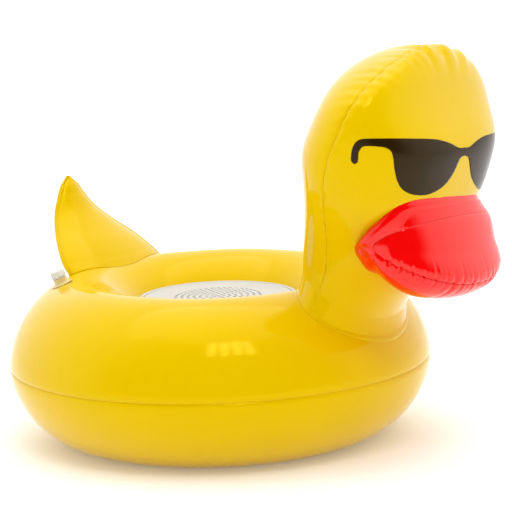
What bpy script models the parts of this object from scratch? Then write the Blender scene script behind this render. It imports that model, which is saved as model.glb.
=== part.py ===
"""Duck-shaped pool float that carries a floating waterproof loudspeaker.

The float is welded from thin inflated film: a ring, a neck and head, a beak and a tail.
The loudspeaker is a sealed drum that sits in the ring's hole, with its grille facing up.

Units are metres, +Z is up and the duck faces -Y. Every piece is modelled around the ring's
centre, at the height of the ring's weld, and hangs from the empty "float_frame", which puts
the whole object with its bounding box centred on the origin and its underside at Z = 0.
"""
import math

import bmesh
import bpy
from mathutils import Matrix, Vector

MM = 0.001

# Gaps and films
GAP = 0.3 * MM                  # between pieces that touch
FILM = 0.4 * MM                 # inflated film
WELD_GAP = 0.5 * MM             # between two panels that meet at a weld

# Ring, a tube of superelliptic section
RING_R = 115 * MM               # outer radius, at the weld
CREST_R = 74.5 * MM             # radius of the top of the tube
INNER_AXIS = 38 * MM            # from the crest towards the hole, before the drum flattens it
RING_TOP = 46.5 * MM
RING_BOTTOM = 42.5 * MM
RING_FOOT = 41.8 * MM           # the underside is pressed flat here by the table
RING_POWER = 1.8
RING_STEPS = 36

# Loudspeaker drum
DRUM_R = 43.5 * MM
DRUM_TOP = 33.8 * MM
DRUM_BOTTOM = -22 * MM
FLOOR_T = 2.5 * MM
FLOOR_TOP = DRUM_BOTTOM + FLOOR_T
BEZEL_W = 2.2 * MM
BAFFLE_Z = 23.5 * MM            # underside of the plate that carries the driver
RING_BORE = DRUM_R + 0.5 * MM
BOSS_CIRCLE = 36 * MM
BOSS_R = 3.2 * MM

# Grille
HOLE_RINGS = 7
HOLE_PITCH = 3.3 * MM
HOLE_R = 0.95 * MM

# Buttons and charging port, on the underside
BUTTON_R = 3.2 * MM
BUTTON_PLACES = {
    "button_power": (0, -16),
    "button_volume_down": (-14, -8),
    "button_volume_up": (14, -8),
    "button_play": (0, 0),
}
PORT_Y = 14 * MM
PORT_HINGE_Y = 7 * MM           # from the port's centre
BOARD_Z = -14.3 * MM
BOARD_T = 1.6 * MM
BOARD_SIZE = (52 * MM, 40 * MM)
POST_X = 23 * MM

# Neck and head: height, weld line, half width, depth in front of the weld and behind it (mm)
HEAD_STATIONS = (
    (8, -82, 35, 25, 28),
    (25, -80, 37.5, 26, 25),
    (45, -88.5, 37.5, 30, 24),
    (65, -95.5, 39, 37, 30),
    (85, -103, 51, 45, 31),
    (105, -109.5, 62.5, 43.5, 31.5),
    (125, -115.5, 66, 41, 39.2),
    (145, -125.2, 63.5, 21, 39.4),
)
CROWN_Y = -135.5 * MM
CROWN_Z = 173.7 * MM
CROWN_POWERS = (1.57, 1.5, 2.6)     # roundness of the width, the front and the back
CROWN_SHIFT = 1.25                  # how fast the weld line moves forward
BLEND = 9 * MM                  # the sections are averaged over this much height, up and down
FACE_POWER = 2.6                # the face is flatter than an ellipse
FACE_LOW = 60 * MM
FACE_HIGH = 100 * MM

# Beak: pitch round its poles (degrees), and the section's reach at that pitch (mm)
BEAK_STATIONS = (
    (-180, 20),
    (-140, 15),
    (-105, 16),
    (-75, 19.5),
    (-50, 34.7),
    (-21, 50.3),
    (0, 43),
    (24, 41.2),
)
BEAK_CENTRE = Vector((0, -116, 70.5)) * MM
BEAK_HALF = 50 * MM
BEAK_SWELL = (0.94, 1.04)       # of the reach along the beak, for the back half and the front half
BEAK_RISE = 0.675
BEAK_SWEEP = 14 * MM            # the poles stand this far ahead of the axis, and this far above it
BEAK_LIFT = 2.8 * MM
BEAK_ROLL = 0.07                # radians; the duck's right side is higher
BEAK_RIM = -21                  # pitch of the front weld, of the upper one, and their half width
BEAK_SEAM = 24
WELD_TRIM = 0.5

# Where the root band is welded to the face: across and up from the beak's axis (mm), evenly spaced
ROOT_CURVE = (
    (-39.7, -1.3), (-43.3, 3.5), (-47, 9.7), (-48.4, 16.4), (-46.3, 22.5), (-41, 25.6),
    (-34.5, 26.4), (-27.6, 26.5), (-20.7, 26.4), (-13.8, 26.2), (-6.9, 26.1), (0, 26),
)
ROOT_REACH = 0.92               # the weld stays within this share of the head's half width
ROOT_FOLLOW = 1.8               # how slowly the band leaves the beak's corners
BAND_HOLLOW = -0.6 * MM
BAND_BULGE = 2 * MM             # at the corners

# Tail: height, distance behind the ring's centre, half width, half depth (mm)
TAIL_STATIONS = (
    (36, 64, 38.5, 9),
    (44, 74.4, 37.7, 9),
    (50, 81.4, 36.1, 10),
    (58, 89.6, 31, 10),
    (66, 98.2, 23.8, 8.5),
    (74, 104.5, 16.9, 6.5),
    (82, 107.3, 11.2, 4.5),
    (88, 108.4, 7.1, 3),
    (93, 109.3, 1.5, 1.2),
)
TAIL_TURN = math.radians(-6)    # the tail is welded a little off the duck's centre line

# Inflation valve, on top of the ring beside the tail
VALVE_X = -50 * MM
VALVE_Y = 68 * MM
VALVE_LEAN = math.radians(21)   # it stands square to the film

# The beak reaches this far forward, and the ring this far back
BEAK_REACH = 163.3 * MM
FRAME_Y = (BEAK_REACH - RING_R) / 2

COLOURS = {
    "yellow_film": ((0.80, 0.50, 0.005), 0.18, 0.0),
    "red_film": ((0.78, 0.02, 0.01), 0.16, 0.0),
    "clear_vinyl": ((0.80, 0.80, 0.76), 0.25, 0.0),
    "light_grey_plastic": ((0.72, 0.71, 0.68), 0.45, 0.0),
    "grey_plastic": ((0.45, 0.45, 0.43), 0.5, 0.0),
    "grey_rubber": ((0.30, 0.30, 0.30), 0.7, 0.0),
    "black_rubber": ((0.03, 0.03, 0.03), 0.8, 0.0),
    "black_fabric": ((0.04, 0.04, 0.04), 0.9, 0.0),
    "paper_cone": ((0.05, 0.05, 0.055), 0.85, 0.0),
    "plated_steel": ((0.60, 0.60, 0.60), 0.3, 1.0),
    "ferrite": ((0.06, 0.06, 0.065), 0.6, 0.0),
    "copper_wire": ((0.72, 0.32, 0.14), 0.35, 1.0),
    "circuit_board": ((0.02, 0.16, 0.06), 0.5, 0.0),
    "battery_wrap": ((0.10, 0.22, 0.50), 0.4, 0.0),
    "wire_jacket": ((0.50, 0.02, 0.02), 0.5, 0.0),
}


# ---------------------------------------------------------------- scene helpers

def clear_scene():
    for obj in list(bpy.data.objects):
        bpy.data.objects.remove(obj, do_unlink=True)


def material(name):
    mat = bpy.data.materials.get(name)
    if mat is None:
        colour, roughness, metallic = COLOURS[name]
        mat = bpy.data.materials.new(name)
        mat.use_nodes = True
        shader = mat.node_tree.nodes["Principled BSDF"]
        shader.inputs["Base Color"].default_value = (*colour, 1)
        shader.inputs["Roughness"].default_value = roughness
        shader.inputs["Metallic"].default_value = metallic
        mat.diffuse_color = (*colour, 1)
    return mat


def add_empty(name, location, parent=None, rotation=None):
    empty = bpy.data.objects.new(name, None)
    bpy.context.collection.objects.link(empty)
    empty.parent = parent
    empty.location = location
    if rotation is not None:
        empty.rotation_euler = rotation
    return empty


def add_object(name, bm, finish, parent, location=(0, 0, 0)):
    mesh = bpy.data.meshes.new(name)
    bm.to_mesh(mesh)
    bm.free()
    mesh.shade_smooth()
    mesh.set_sharp_from_angle(angle=math.radians(35))
    mesh.materials.append(material(finish))
    obj = bpy.data.objects.new(name, mesh)
    bpy.context.collection.objects.link(obj)
    obj.parent = parent
    obj.location = location
    return obj


def as_cutter(obj):
    obj.hide_render = True
    obj.display_type = "WIRE"
    return obj


def cut(obj, *cutters):
    for cutter in cutters:
        mod = obj.modifiers.new("cut_" + cutter.name, "BOOLEAN")
        mod.operation = "DIFFERENCE"
        mod.object = cutter


def join(obj, *others):
    for other in others:
        mod = obj.modifiers.new("join_" + other.name, "BOOLEAN")
        mod.operation = "UNION"
        mod.object = other


def thicken(obj, thickness=FILM):
    mod = obj.modifiers.new("film", "SOLIDIFY")
    mod.thickness = thickness
    mod.offset = -1
    mod.use_even_offset = True


# ---------------------------------------------------------------- shape helpers

def turned_bmesh(profile, steps, closed=True):
    """Turn a profile of (radius, height) points round Z."""
    bm = bmesh.new()
    verts = [bm.verts.new((r, 0, z)) for r, z in profile]
    pairs = list(zip(verts, verts[1:]))
    if closed:
        pairs.append((verts[-1], verts[0]))
    edges = [bm.edges.new(pair) for pair in pairs
             if max(abs(v.co.x) for v in pair) > 1e-7]
    bmesh.ops.spin(bm, geom=verts + edges, cent=(0, 0, 0), axis=(0, 0, 1),
                   angle=math.tau, steps=steps, use_merge=True)
    bmesh.ops.remove_doubles(bm, verts=bm.verts, dist=1e-6)
    loose = [v for v in bm.verts if not v.link_faces]
    bmesh.ops.delete(bm, geom=loose, context="VERTS")
    bmesh.ops.recalc_face_normals(bm, faces=bm.faces)
    return bm


def turned(name, profile, finish, parent, location=(0, 0, 0), steps=20, closed=True):
    points = [(r * MM, z * MM) for r, z in profile]
    return add_object(name, turned_bmesh(points, steps, closed), finish, parent, location)


def cylinder_cutter(name, radius, low, high, parent, x=0.0, y=0.0, steps=16):
    bm = bmesh.new()
    place = Matrix.Translation((x, y, (low + high) / 2))
    bmesh.ops.create_cone(bm, cap_ends=True, segments=steps, radius1=radius, radius2=radius,
                          depth=high - low, matrix=place)
    return as_cutter(add_object(name, bm, "grey_plastic", parent))


def box_bmesh(low, high):
    low, high = Vector(low), Vector(high)
    size = high - low
    place = Matrix.Translation((low + high) / 2) @ Matrix.Diagonal((*size, 1))
    bm = bmesh.new()
    bmesh.ops.create_cube(bm, size=1, matrix=place)
    return bm


def box(name, low, high, finish, parent, location=(0, 0, 0)):
    return add_object(name, box_bmesh(low, high), finish, parent, location)


def sheet_bmesh(point, rows, columns, centre, wrap=False):
    """A sheet of quads through point(row, column), facing away from centre."""
    bm = bmesh.new()
    grid = [[bm.verts.new(point(i, j)) for j in range(columns)] for i in range(rows)]
    last = columns if wrap else columns - 1
    for i in range(rows - 1):
        for j in range(last):
            k = (j + 1) % columns
            bm.faces.new((grid[i][j], grid[i][k], grid[i + 1][k], grid[i + 1][j]))
    bmesh.ops.remove_doubles(bm, verts=bm.verts, dist=1e-6)
    bm.normal_update()
    facing = sum(f.normal.dot(f.calc_center_median() - centre) for f in bm.faces)
    if facing < 0:
        bmesh.ops.reverse_faces(bm, faces=bm.faces)
    return bm


def smooth_stations(stations, z):
    """Catmull-Rom interpolation of a station table whose first column is the height."""
    last = len(stations) - 2
    i = next((n for n in range(last) if z < stations[n + 1][0]), last)
    t = (z - stations[i][0]) / (stations[i + 1][0] - stations[i][0])
    before = stations[max(i - 1, 0)]
    after = stations[min(i + 2, last + 1)]
    row = []
    for a, p, q, b in zip(before[1:], stations[i][1:], stations[i + 1][1:], after[1:]):
        row.append(0.5 * (2 * p + (q - a) * t + (2 * a - 5 * p + 4 * q - b) * t ** 2
                          + (3 * p - a - 3 * q + b) * t ** 3))
    return row


def power(value, exponent):
    return math.copysign(abs(value) ** exponent, value)


# ---------------------------------------------------------------- the inflated float

def ring_point(angle):
    """A point (radius, height) of the tube's section; 0 is the outer weld, pi the inner one."""
    c = power(math.cos(angle), 2 / RING_POWER)
    s = power(math.sin(angle), 2 / RING_POWER)
    reach = RING_R - CREST_R if c > 0 else INNER_AXIS
    height = RING_TOP if s > 0 else RING_BOTTOM
    return max(CREST_R + reach * c, RING_BORE), max(height * s, -RING_FOOT)


def ring_height(x, y):
    """Height of the film's outer face above the weld, on the upper half of the ring."""
    off = math.hypot(x, y) - CREST_R
    reach = RING_R - CREST_R if off > 0 else INNER_AXIS
    inside = max(0.0, 1 - (abs(off) / reach) ** RING_POWER)
    return RING_TOP * inside ** (1 / RING_POWER)


def ring_angles(side, steps):
    """Section angles of a panel; the lower one has two of them on the edges of its flat foot."""
    start, end = math.radians(2), math.radians(178)
    if side > 0:
        return [start + (end - start) * i / (2 * steps - 2) for i in range(2 * steps - 1)]
    edge = math.asin((RING_FOOT / RING_BOTTOM) ** (RING_POWER / 2))
    outer = [start + (edge - start) * i / (steps - 1) for i in range(steps)]
    return outer + [math.pi - angle for angle in reversed(outer)]


def ring_panel(name, side, parent, steps=5):
    profile = [ring_point(side * angle) for angle in ring_angles(side, steps)]
    profile[0] = (profile[0][0], side * WELD_GAP / 2)
    profile[-1] = (profile[-1][0], side * WELD_GAP / 2)
    bm = turned_bmesh(profile, RING_STEPS, closed=False)
    bm.normal_update()
    facing = 0.0
    for face in bm.faces:
        middle = face.calc_center_median()
        core = Vector((middle.x, middle.y, 0)).normalized() * CREST_R
        facing += face.normal.dot(middle - core)
    if facing < 0:
        bmesh.ops.reverse_faces(bm, faces=bm.faces)
    obj = add_object(name, bm, "yellow_film", parent)
    thicken(obj)
    return obj


def plain_head_section(z):
    """Weld line, half width, front depth and back depth of the neck and head at height z."""
    top = HEAD_STATIONS[-1][0] * MM
    seam, half, front, back = (v * MM for v in smooth_stations(HEAD_STATIONS, min(z, top) / MM))
    rise = min(1.0, max(0.0, (z - top) / (CROWN_Z - top)))
    width, ahead, behind = ((1 - rise ** n) ** (1 / n) for n in CROWN_POWERS)
    seam += (CROWN_Y - seam) * rise ** CROWN_SHIFT
    return seam, half * width, front * ahead, back * behind


def smooth_step(x):
    x = min(1.0, max(0.0, x))
    return x * x * (3 - 2 * x)


def head_section(z):
    """The plain section, averaged over a little height so that no ridge shows."""
    span = BLEND * smooth_step((CROWN_Z - z) / (2.5 * BLEND))
    rows = [plain_head_section(min(z + span * k / 4, CROWN_Z)) for k in range(-4, 5)]
    return [sum(column) / len(rows) for column in zip(*rows)]


def face_power(z):
    flat = min(1.0, max(0.0, (z - FACE_LOW) / (FACE_HIGH - FACE_LOW)))
    return 2 + (FACE_POWER - 2) * flat


def head_point(angle, z, grow=0.0):
    """A point of the head's skin; angle 0 is the duck's right, pi/2 the front."""
    seam, half, front, back = head_section(z)
    c, s = math.cos(angle), math.sin(angle)
    n = face_power(z) if s > 0 else 2
    reach = (abs(c) ** n + abs(s) ** n) ** (-1 / n)
    depth = (front if s > 0 else back) + grow
    return Vector((-(half + grow) * c * reach, seam - depth * s * reach, z))


def head_foot(angle):
    """Height where the neck's skin meets the ring's film."""
    z = 30 * MM
    for _ in range(40):
        p = head_point(angle, z)
        z += 0.5 * (ring_height(p.x, p.y) + 1.2 * GAP - z)
    return z


def head_rows(count):
    """Heights from the foot (0) over the cheeks to the crown (1), closer near the crown."""
    return [math.sin(0.5 * math.pi * i / (count - 1)) for i in range(count)]


def head_panel(name, side, parent, rows=15, columns=15):
    levels = head_rows(rows)
    shift = Vector((0, -side * WELD_GAP / 2, 0))

    def point(i, j):
        angle = side * math.pi * j / (columns - 1)
        foot = head_foot(angle)
        z = foot + (CROWN_Z - foot) * levels[i]
        return head_point(angle, z) + shift

    centre = Vector((0, -105, 95)) * MM
    obj = add_object(name, sheet_bmesh(point, rows, columns, centre), "yellow_film", parent)
    thicken(obj)
    return obj


def head_cutter(parent, rows=16, columns=28):
    """A closed solid a little larger than the head, which trims the beak where it is welded on."""
    levels = head_rows(rows)
    low = 20 * MM
    grow = 4 * GAP

    def point(i, j):
        z = low + (CROWN_Z - low) * levels[i]
        return head_point(math.tau * j / columns, z, grow)

    bm = sheet_bmesh(point, rows, columns, Vector((0, -105, 95)) * MM, wrap=True)
    bmesh.ops.holes_fill(bm, edges=[e for e in bm.edges if e.is_boundary])
    bmesh.ops.recalc_face_normals(bm, faces=bm.faces)
    return as_cutter(add_object("head_cutter", bm, "yellow_film", parent))


def beak_reach(pitch):
    """Smooth curve through the reach stations, which are unevenly spaced."""
    last = len(BEAK_STATIONS) - 1
    i = next((n for n in range(last - 1) if pitch < BEAK_STATIONS[n + 1][0]), last - 1)

    def slope(k):
        a, b = BEAK_STATIONS[max(k - 1, 0)], BEAK_STATIONS[min(k + 1, last)]
        return (b[1] - a[1]) / (b[0] - a[0])

    (start, low), (end, high) = BEAK_STATIONS[i], BEAK_STATIONS[i + 1]
    h = end - start
    t = (pitch - start) / h
    return MM * ((2 * t ** 3 - 3 * t ** 2 + 1) * low + (t ** 3 - 2 * t ** 2 + t) * h * slope(i)
                 + (3 * t ** 2 - 2 * t ** 3) * high + (t ** 3 - t ** 2) * h * slope(i + 1))


def rolled(x, forward, upward):
    """From the beak's own directions to the float's."""
    c, s = math.cos(BEAK_ROLL), math.sin(BEAK_ROLL)
    return BEAK_CENTRE + Vector((x * c + upward * s, -forward, upward * c - x * s))


def beak_point(along, pitch):
    """A point of the beak's skin: along runs pole to pole, pitch goes round them."""
    reach, turn = beak_reach(pitch), math.radians(pitch)
    size, side = math.sin(along), math.cos(along) ** 2
    swell = BEAK_SWELL[1] if math.cos(turn) > 0 else BEAK_SWELL[0]
    forward = reach * size ** swell * math.cos(turn) + BEAK_SWEEP * side
    upward = reach * size ** BEAK_RISE * math.sin(turn) + BEAK_LIFT * side
    return rolled(-BEAK_HALF * math.cos(along), forward, upward)


def beak_panel(name, low_deg, high_deg, cutter, parent, rows=6, columns=19):
    """One panel of the beak between two pitches, trimmed where it meets the head."""
    margin = math.radians(3)

    def point(i, j):
        along = margin + (math.pi - 2 * margin) * j / (columns - 1)
        return beak_point(along, low_deg + (high_deg - low_deg) * i / (rows - 1))

    obj = add_object(name, sheet_bmesh(point, rows, columns, BEAK_CENTRE), "red_film", parent)
    thicken(obj)
    cut(obj, cutter)
    return obj


def root_point(across):
    """The band's weld on the face; across runs from 0 to 1."""
    count = len(ROOT_CURVE) - 1
    place = count * (1 - abs(2 * across - 1))
    rows = [(n, *point) for n, point in enumerate(ROOT_CURVE)]
    rows.append((count + 1, -ROOT_CURVE[-2][0], ROOT_CURVE[-2][1]))
    x, up = smooth_stations(rows, place)
    point = rolled(math.copysign(x, across - 0.5) * MM, 0, up * MM)
    seam, half, front, _ = head_section(point.z)
    x = max(-ROOT_REACH * half, min(ROOT_REACH * half, point.x))
    n = face_power(point.z)
    return Vector((x, seam - front * (1 - abs(x / half) ** n) ** (1 / n), point.z))


def band_point(across, rise):
    """The root band, from the beak's upper weld (rise 0) to the face (rise 1)."""
    near, far = across ** ROOT_FOLLOW, (1 - across) ** ROOT_FOLLOW
    weld = beak_point(math.pi * near / (near + far), BEAK_SEAM)
    point = weld.lerp(root_point(across), rise)
    corner = 1 - smooth_step(min(across, 1 - across) / 0.3)
    bulge = BAND_HOLLOW + (BAND_BULGE - BAND_HOLLOW) * corner
    outward = (point - BEAK_CENTRE - Vector((0, -19, 0)) * MM).normalized()
    return point + outward * bulge * 4 * rise * (1 - rise)


def root_band(name, cutter, parent, rows=6, columns=41):
    """The band between the beak and the face; its two ends meet the back of the lower panel."""
    close = 0.1                 # share of the width over which the ends are drawn to that panel

    def point(i, j):
        across = 0.012 + 0.976 * j / (columns - 1)
        rise = 0.06 + 0.94 * i / (rows - 1)
        result = band_point(across, rise)
        for end in (0, 1):
            along = abs(end * math.pi - math.radians(3 + 37 * rise))
            pull = max(0.0, 1 - abs(across - end) / close) ** 2
            result += pull * (beak_point(along, -180) - band_point(end, rise))
        return result

    obj = add_object(name, sheet_bmesh(point, rows, columns, BEAK_CENTRE), "red_film", parent)
    thicken(obj)
    cut(obj, cutter)
    return obj


def tail_section(z):
    return [v * MM for v in smooth_stations(TAIL_STATIONS, z / MM)]


def tail_point(angle, z):
    back, half, depth = tail_section(z)
    return Vector((-half * math.cos(angle), back - depth * math.sin(angle), z))


def tail_foot(angle):
    z = 40 * MM
    for _ in range(40):
        p = tail_point(angle, z)
        z += 0.5 * (ring_height(p.x, p.y) + 1.2 * GAP - z)
    return z


def tail_panel(name, side, parent, rows=9, columns=11):
    top = TAIL_STATIONS[-1][0] * MM
    shift = Vector((0, -side * WELD_GAP, 0))

    def point(i, j):
        angle = side * math.pi * j / (columns - 1)
        foot = tail_foot(angle)
        return tail_point(angle, foot + (top - foot) * i / (rows - 1)) + shift

    bm = sheet_bmesh(point, rows, columns, Vector((0, 88, 65)) * MM)
    obj = add_object(name, bm, "yellow_film", parent)
    obj.rotation_euler.z = TAIL_TURN
    thicken(obj)
    return obj


def valve(frame):
    """Stem, check flap and stopper, standing square to the film. Returns the stem's cutter."""
    outward = math.atan2(VALVE_Y, VALVE_X)
    axis = Matrix.Rotation(outward, 4, "Z") @ Matrix.Rotation(VALVE_LEAN, 4, "Y")
    seat = add_empty("valve_axis", (VALVE_X, VALVE_Y, ring_height(VALVE_X, VALVE_Y)),
                     frame, axis.to_euler())
    turned("valve_stem", [(2.4, -6), (3.6, -6), (3.6, 0.6), (5.9, 0.6), (5.9, 1.1), (3.7, 1.4),
                          (3.7, 3.6), (2.4, 3.6)], "clear_vinyl", seat, steps=20)
    turned("valve_cap", [(0, 1.0), (2.1, 1.0), (2.1, 3.9), (3.9, 3.9), (3.9, 7.2), (3.4, 7.8),
                         (0, 7.8)], "clear_vinyl", seat, steps=20, closed=False)
    hinge = add_empty("valve_flap_hinge", (3.2 * MM, 0, -6.55 * MM), seat)
    turned("valve_flap", [(0, -0.25), (3.2, -0.25), (3.2, 0.25), (0, 0.25)], "clear_vinyl",
           hinge, (-3.2 * MM, 0, 0), steps=16, closed=False)
    return cylinder_cutter("valve_hole", 4.0 * MM, -5 * MM, 5 * MM, seat)


def inflated_float(frame):
    upper = ring_panel("ring_upper_panel", 1, frame)
    ring_panel("ring_lower_panel", -1, frame)
    cut(upper, valve(frame))
    head_panel("head_front_panel", 1, frame)
    head_panel("head_back_panel", -1, frame)
    cutter = head_cutter(frame)
    root_band("beak_root_band", cutter, frame)
    beak_panel("beak_upper_panel", BEAK_RIM + WELD_TRIM, BEAK_SEAM - WELD_TRIM, cutter, frame)
    beak_panel("beak_lower_panel", 4 * WELD_TRIM - 180, BEAK_RIM - WELD_TRIM, cutter, frame, rows=12)
    tail_panel("tail_front_panel", 1, frame)
    tail_panel("tail_back_panel", -1, frame)


# ---------------------------------------------------------------- the loudspeaker's case

def corner_places():
    """The four screw bosses, on the diagonals."""
    for n in range(4):
        angle = math.radians(45 + 90 * n)
        yield n + 1, BOSS_CIRCLE * math.cos(angle), BOSS_CIRCLE * math.sin(angle)


def grille_holes():
    yield 0.0, 0.0
    for ring in range(1, HOLE_RINGS + 1):
        for n in range(6 * ring):
            angle = math.tau * n / (6 * ring)
            yield ring * HOLE_PITCH * math.cos(angle), ring * HOLE_PITCH * math.sin(angle)


def grille_cover(parent):
    low = DRUM_TOP - 1.6 * MM
    plate = cylinder_plate("grille_cover", DRUM_R - BEZEL_W - GAP, low, DRUM_TOP, parent)
    bm = bmesh.new()
    for x, y in grille_holes():
        place = Matrix.Translation((x, y, (low + DRUM_TOP) / 2))
        bmesh.ops.create_cone(bm, cap_ends=True, segments=4, radius1=HOLE_R, radius2=HOLE_R,
                              depth=4 * MM, matrix=place)
    cut(plate, as_cutter(add_object("grille_hole_cutters", bm, "grey_plastic", parent)))


def cylinder_plate(name, radius, low, high, parent, steps=40):
    bm = bmesh.new()
    place = Matrix.Translation((0, 0, (low + high) / 2))
    bmesh.ops.create_cone(bm, cap_ends=True, segments=steps, radius1=radius, radius2=radius,
                          depth=high - low, matrix=place)
    return add_object(name, bm, "light_grey_plastic", parent)


def upper_housing(parent):
    """Wall, ledge for the grille and baffle plate, with four screw bosses under the plate."""
    obj = turned("upper_housing", [
        (18, 23.5), (41, 23.5), (41, 6.2), (43.5, 6.2), (43.5, 29.2), (41, 29.2), (41, 31.9),
        (38.5, 31.9), (38.5, 25.5), (18, 25.5)], "light_grey_plastic", parent, steps=36)
    for n, x, y in corner_places():
        boss = cylinder_cutter(f"boss_{n}", BOSS_R, FLOOR_TOP + GAP, BAFFLE_Z + 1 * MM,
                               parent, x, y, steps=12)
        join(obj, boss)
        hole = cylinder_cutter(f"boss_hole_{n}", 1.4 * MM, FLOOR_TOP - 2 * MM,
                               FLOOR_TOP + 9 * MM, parent, x, y, steps=8)
        cut(obj, hole)


def lower_housing(parent):
    """Cup with holes for the screws, the buttons and the charging port, and two board posts."""
    obj = turned("lower_housing", [
        (0, -22), (43.5, -22), (43.5, 4.2), (41, 4.2), (41, -19.5), (0, -19.5)],
        "light_grey_plastic", parent, steps=36, closed=False)
    for sign in (-1, 1):
        post = cylinder_cutter(f"board_post_{sign + 2}", 2.2 * MM, FLOOR_TOP - 1 * MM,
                               BOARD_Z - GAP, parent, sign * POST_X, 0, steps=10)
        join(obj, post)
        cut(obj, cylinder_cutter(f"board_post_hole_{sign + 2}", 0.9 * MM, FLOOR_TOP + 0.6 * MM,
                                 BOARD_Z + 1 * MM, parent, sign * POST_X, 0, steps=8))
    for n, x, y in corner_places():
        cut(obj, cylinder_cutter(f"case_screw_hole_{n}", 1.7 * MM, DRUM_BOTTOM - 2 * MM,
                                 FLOOR_TOP + 2 * MM, parent, x, y, steps=10))
        cut(obj, cylinder_cutter(f"case_screw_recess_{n}", 3.1 * MM, DRUM_BOTTOM - 2 * MM,
                                 DRUM_BOTTOM + 1.3 * MM, parent, x, y, steps=12))
    for name, (x, y) in BUTTON_PLACES.items():
        cut(obj, cylinder_cutter(name + "_hole", BUTTON_R + GAP, DRUM_BOTTOM - 2 * MM,
                                 FLOOR_TOP + 2 * MM, parent, x * MM, y * MM, steps=16))
    port = box_bmesh((-5.5 * MM, PORT_Y - 3.5 * MM, DRUM_BOTTOM - 2 * MM),
                     (5.5 * MM, PORT_Y + 3.5 * MM, FLOOR_TOP + 2 * MM))
    cut(obj, as_cutter(add_object("port_hole", port, "grey_plastic", parent)))


def screw(name, x, y, head_z, head_r, shank_r, length, parent, upright):
    """A pan-head screw; upright is 1 with the head on top, -1 with the head below."""
    profile = [(0, 0), (shank_r, 0), (shank_r, length), (head_r, length),
               (head_r, length + 0.9), (head_r - 0.6, length + 1.2), (0, length + 1.2)]
    points = [(r, upright * (z - length)) for r, z in profile]
    turned(name, points, "plated_steel", parent, (x, y, head_z), steps=10, closed=False)


def case(speaker):
    turned("bezel_ring", [(41.3, 29.5), (43.5, 29.5), (43.5, 33.6), (43.1, 34.1), (41.7, 34.1),
                          (41.3, 33.7)], "grey_plastic", speaker, steps=36)
    grille_cover(speaker)
    turned("acoustic_mesh", [(0, 31.3), (29, 31.3), (29, 31.8), (0, 31.8)], "black_fabric",
           speaker, steps=24, closed=False)
    upper_housing(speaker)
    turned("housing_gasket", [(41.3, 4.5), (43.2, 4.5), (43.2, 5.9), (41.3, 5.9)],
           "black_rubber", speaker, steps=32)
    lower_housing(speaker)
    for n, x, y in corner_places():
        screw(f"case_screw_{n}", x, y, DRUM_BOTTOM + 1.0 * MM, 2.7, 1.1, 9, speaker, -1)


def buttons(speaker):
    """Each button's cap comes through the floor, and its flange keeps it inside."""
    for name, (x, y) in BUTTON_PLACES.items():
        turned(name, [(0, -22.6), (2.8, -22.6), (3.2, -22.2), (3.2, -19.2), (4.3, -19.2),
                      (4.3, -18.3), (0, -18.3)], "grey_rubber", speaker,
               (x * MM, y * MM, 0), steps=16, closed=False)
        switch = name.replace("button", "switch")
        box(switch, (-3 * MM, -3 * MM, -17.4 * MM), (3 * MM, 3 * MM, BOARD_Z - GAP),
            "grey_plastic", speaker, (x * MM, y * MM, 0))


def charging_port(speaker):
    """A socket on the board, behind a rubber flap that hinges down on its rear edge."""
    low, high = -19.4 * MM, BOARD_Z - GAP
    socket = box("charging_socket", (-4.2 * MM, -2.2 * MM, low), (4.2 * MM, 2.2 * MM, high),
                 "plated_steel", speaker, (0, PORT_Y, 0))
    slot = box_bmesh((-3.5 * MM, -1.3 * MM, low - 1 * MM), (3.5 * MM, 1.3 * MM, low + 4 * MM))
    cut(socket, as_cutter(add_object("socket_slot", slot, "plated_steel", speaker,
                                     (0, PORT_Y, 0))))
    hinge = add_empty("port_flap_hinge", (0, PORT_Y + PORT_HINGE_Y, -22.9 * MM), speaker)
    flap = box("port_flap", (-7.5 * MM, -13 * MM, -0.6 * MM), (7.5 * MM, 0, 0.6 * MM),
               "grey_rubber", hinge)
    plug = box_bmesh((-5 * MM, -10 * MM, 0), (5 * MM, -4 * MM, 2.2 * MM))
    join(flap, as_cutter(add_object("flap_plug", plug, "grey_rubber", hinge)))


# ---------------------------------------------------------------- the loudspeaker's inside

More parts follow.
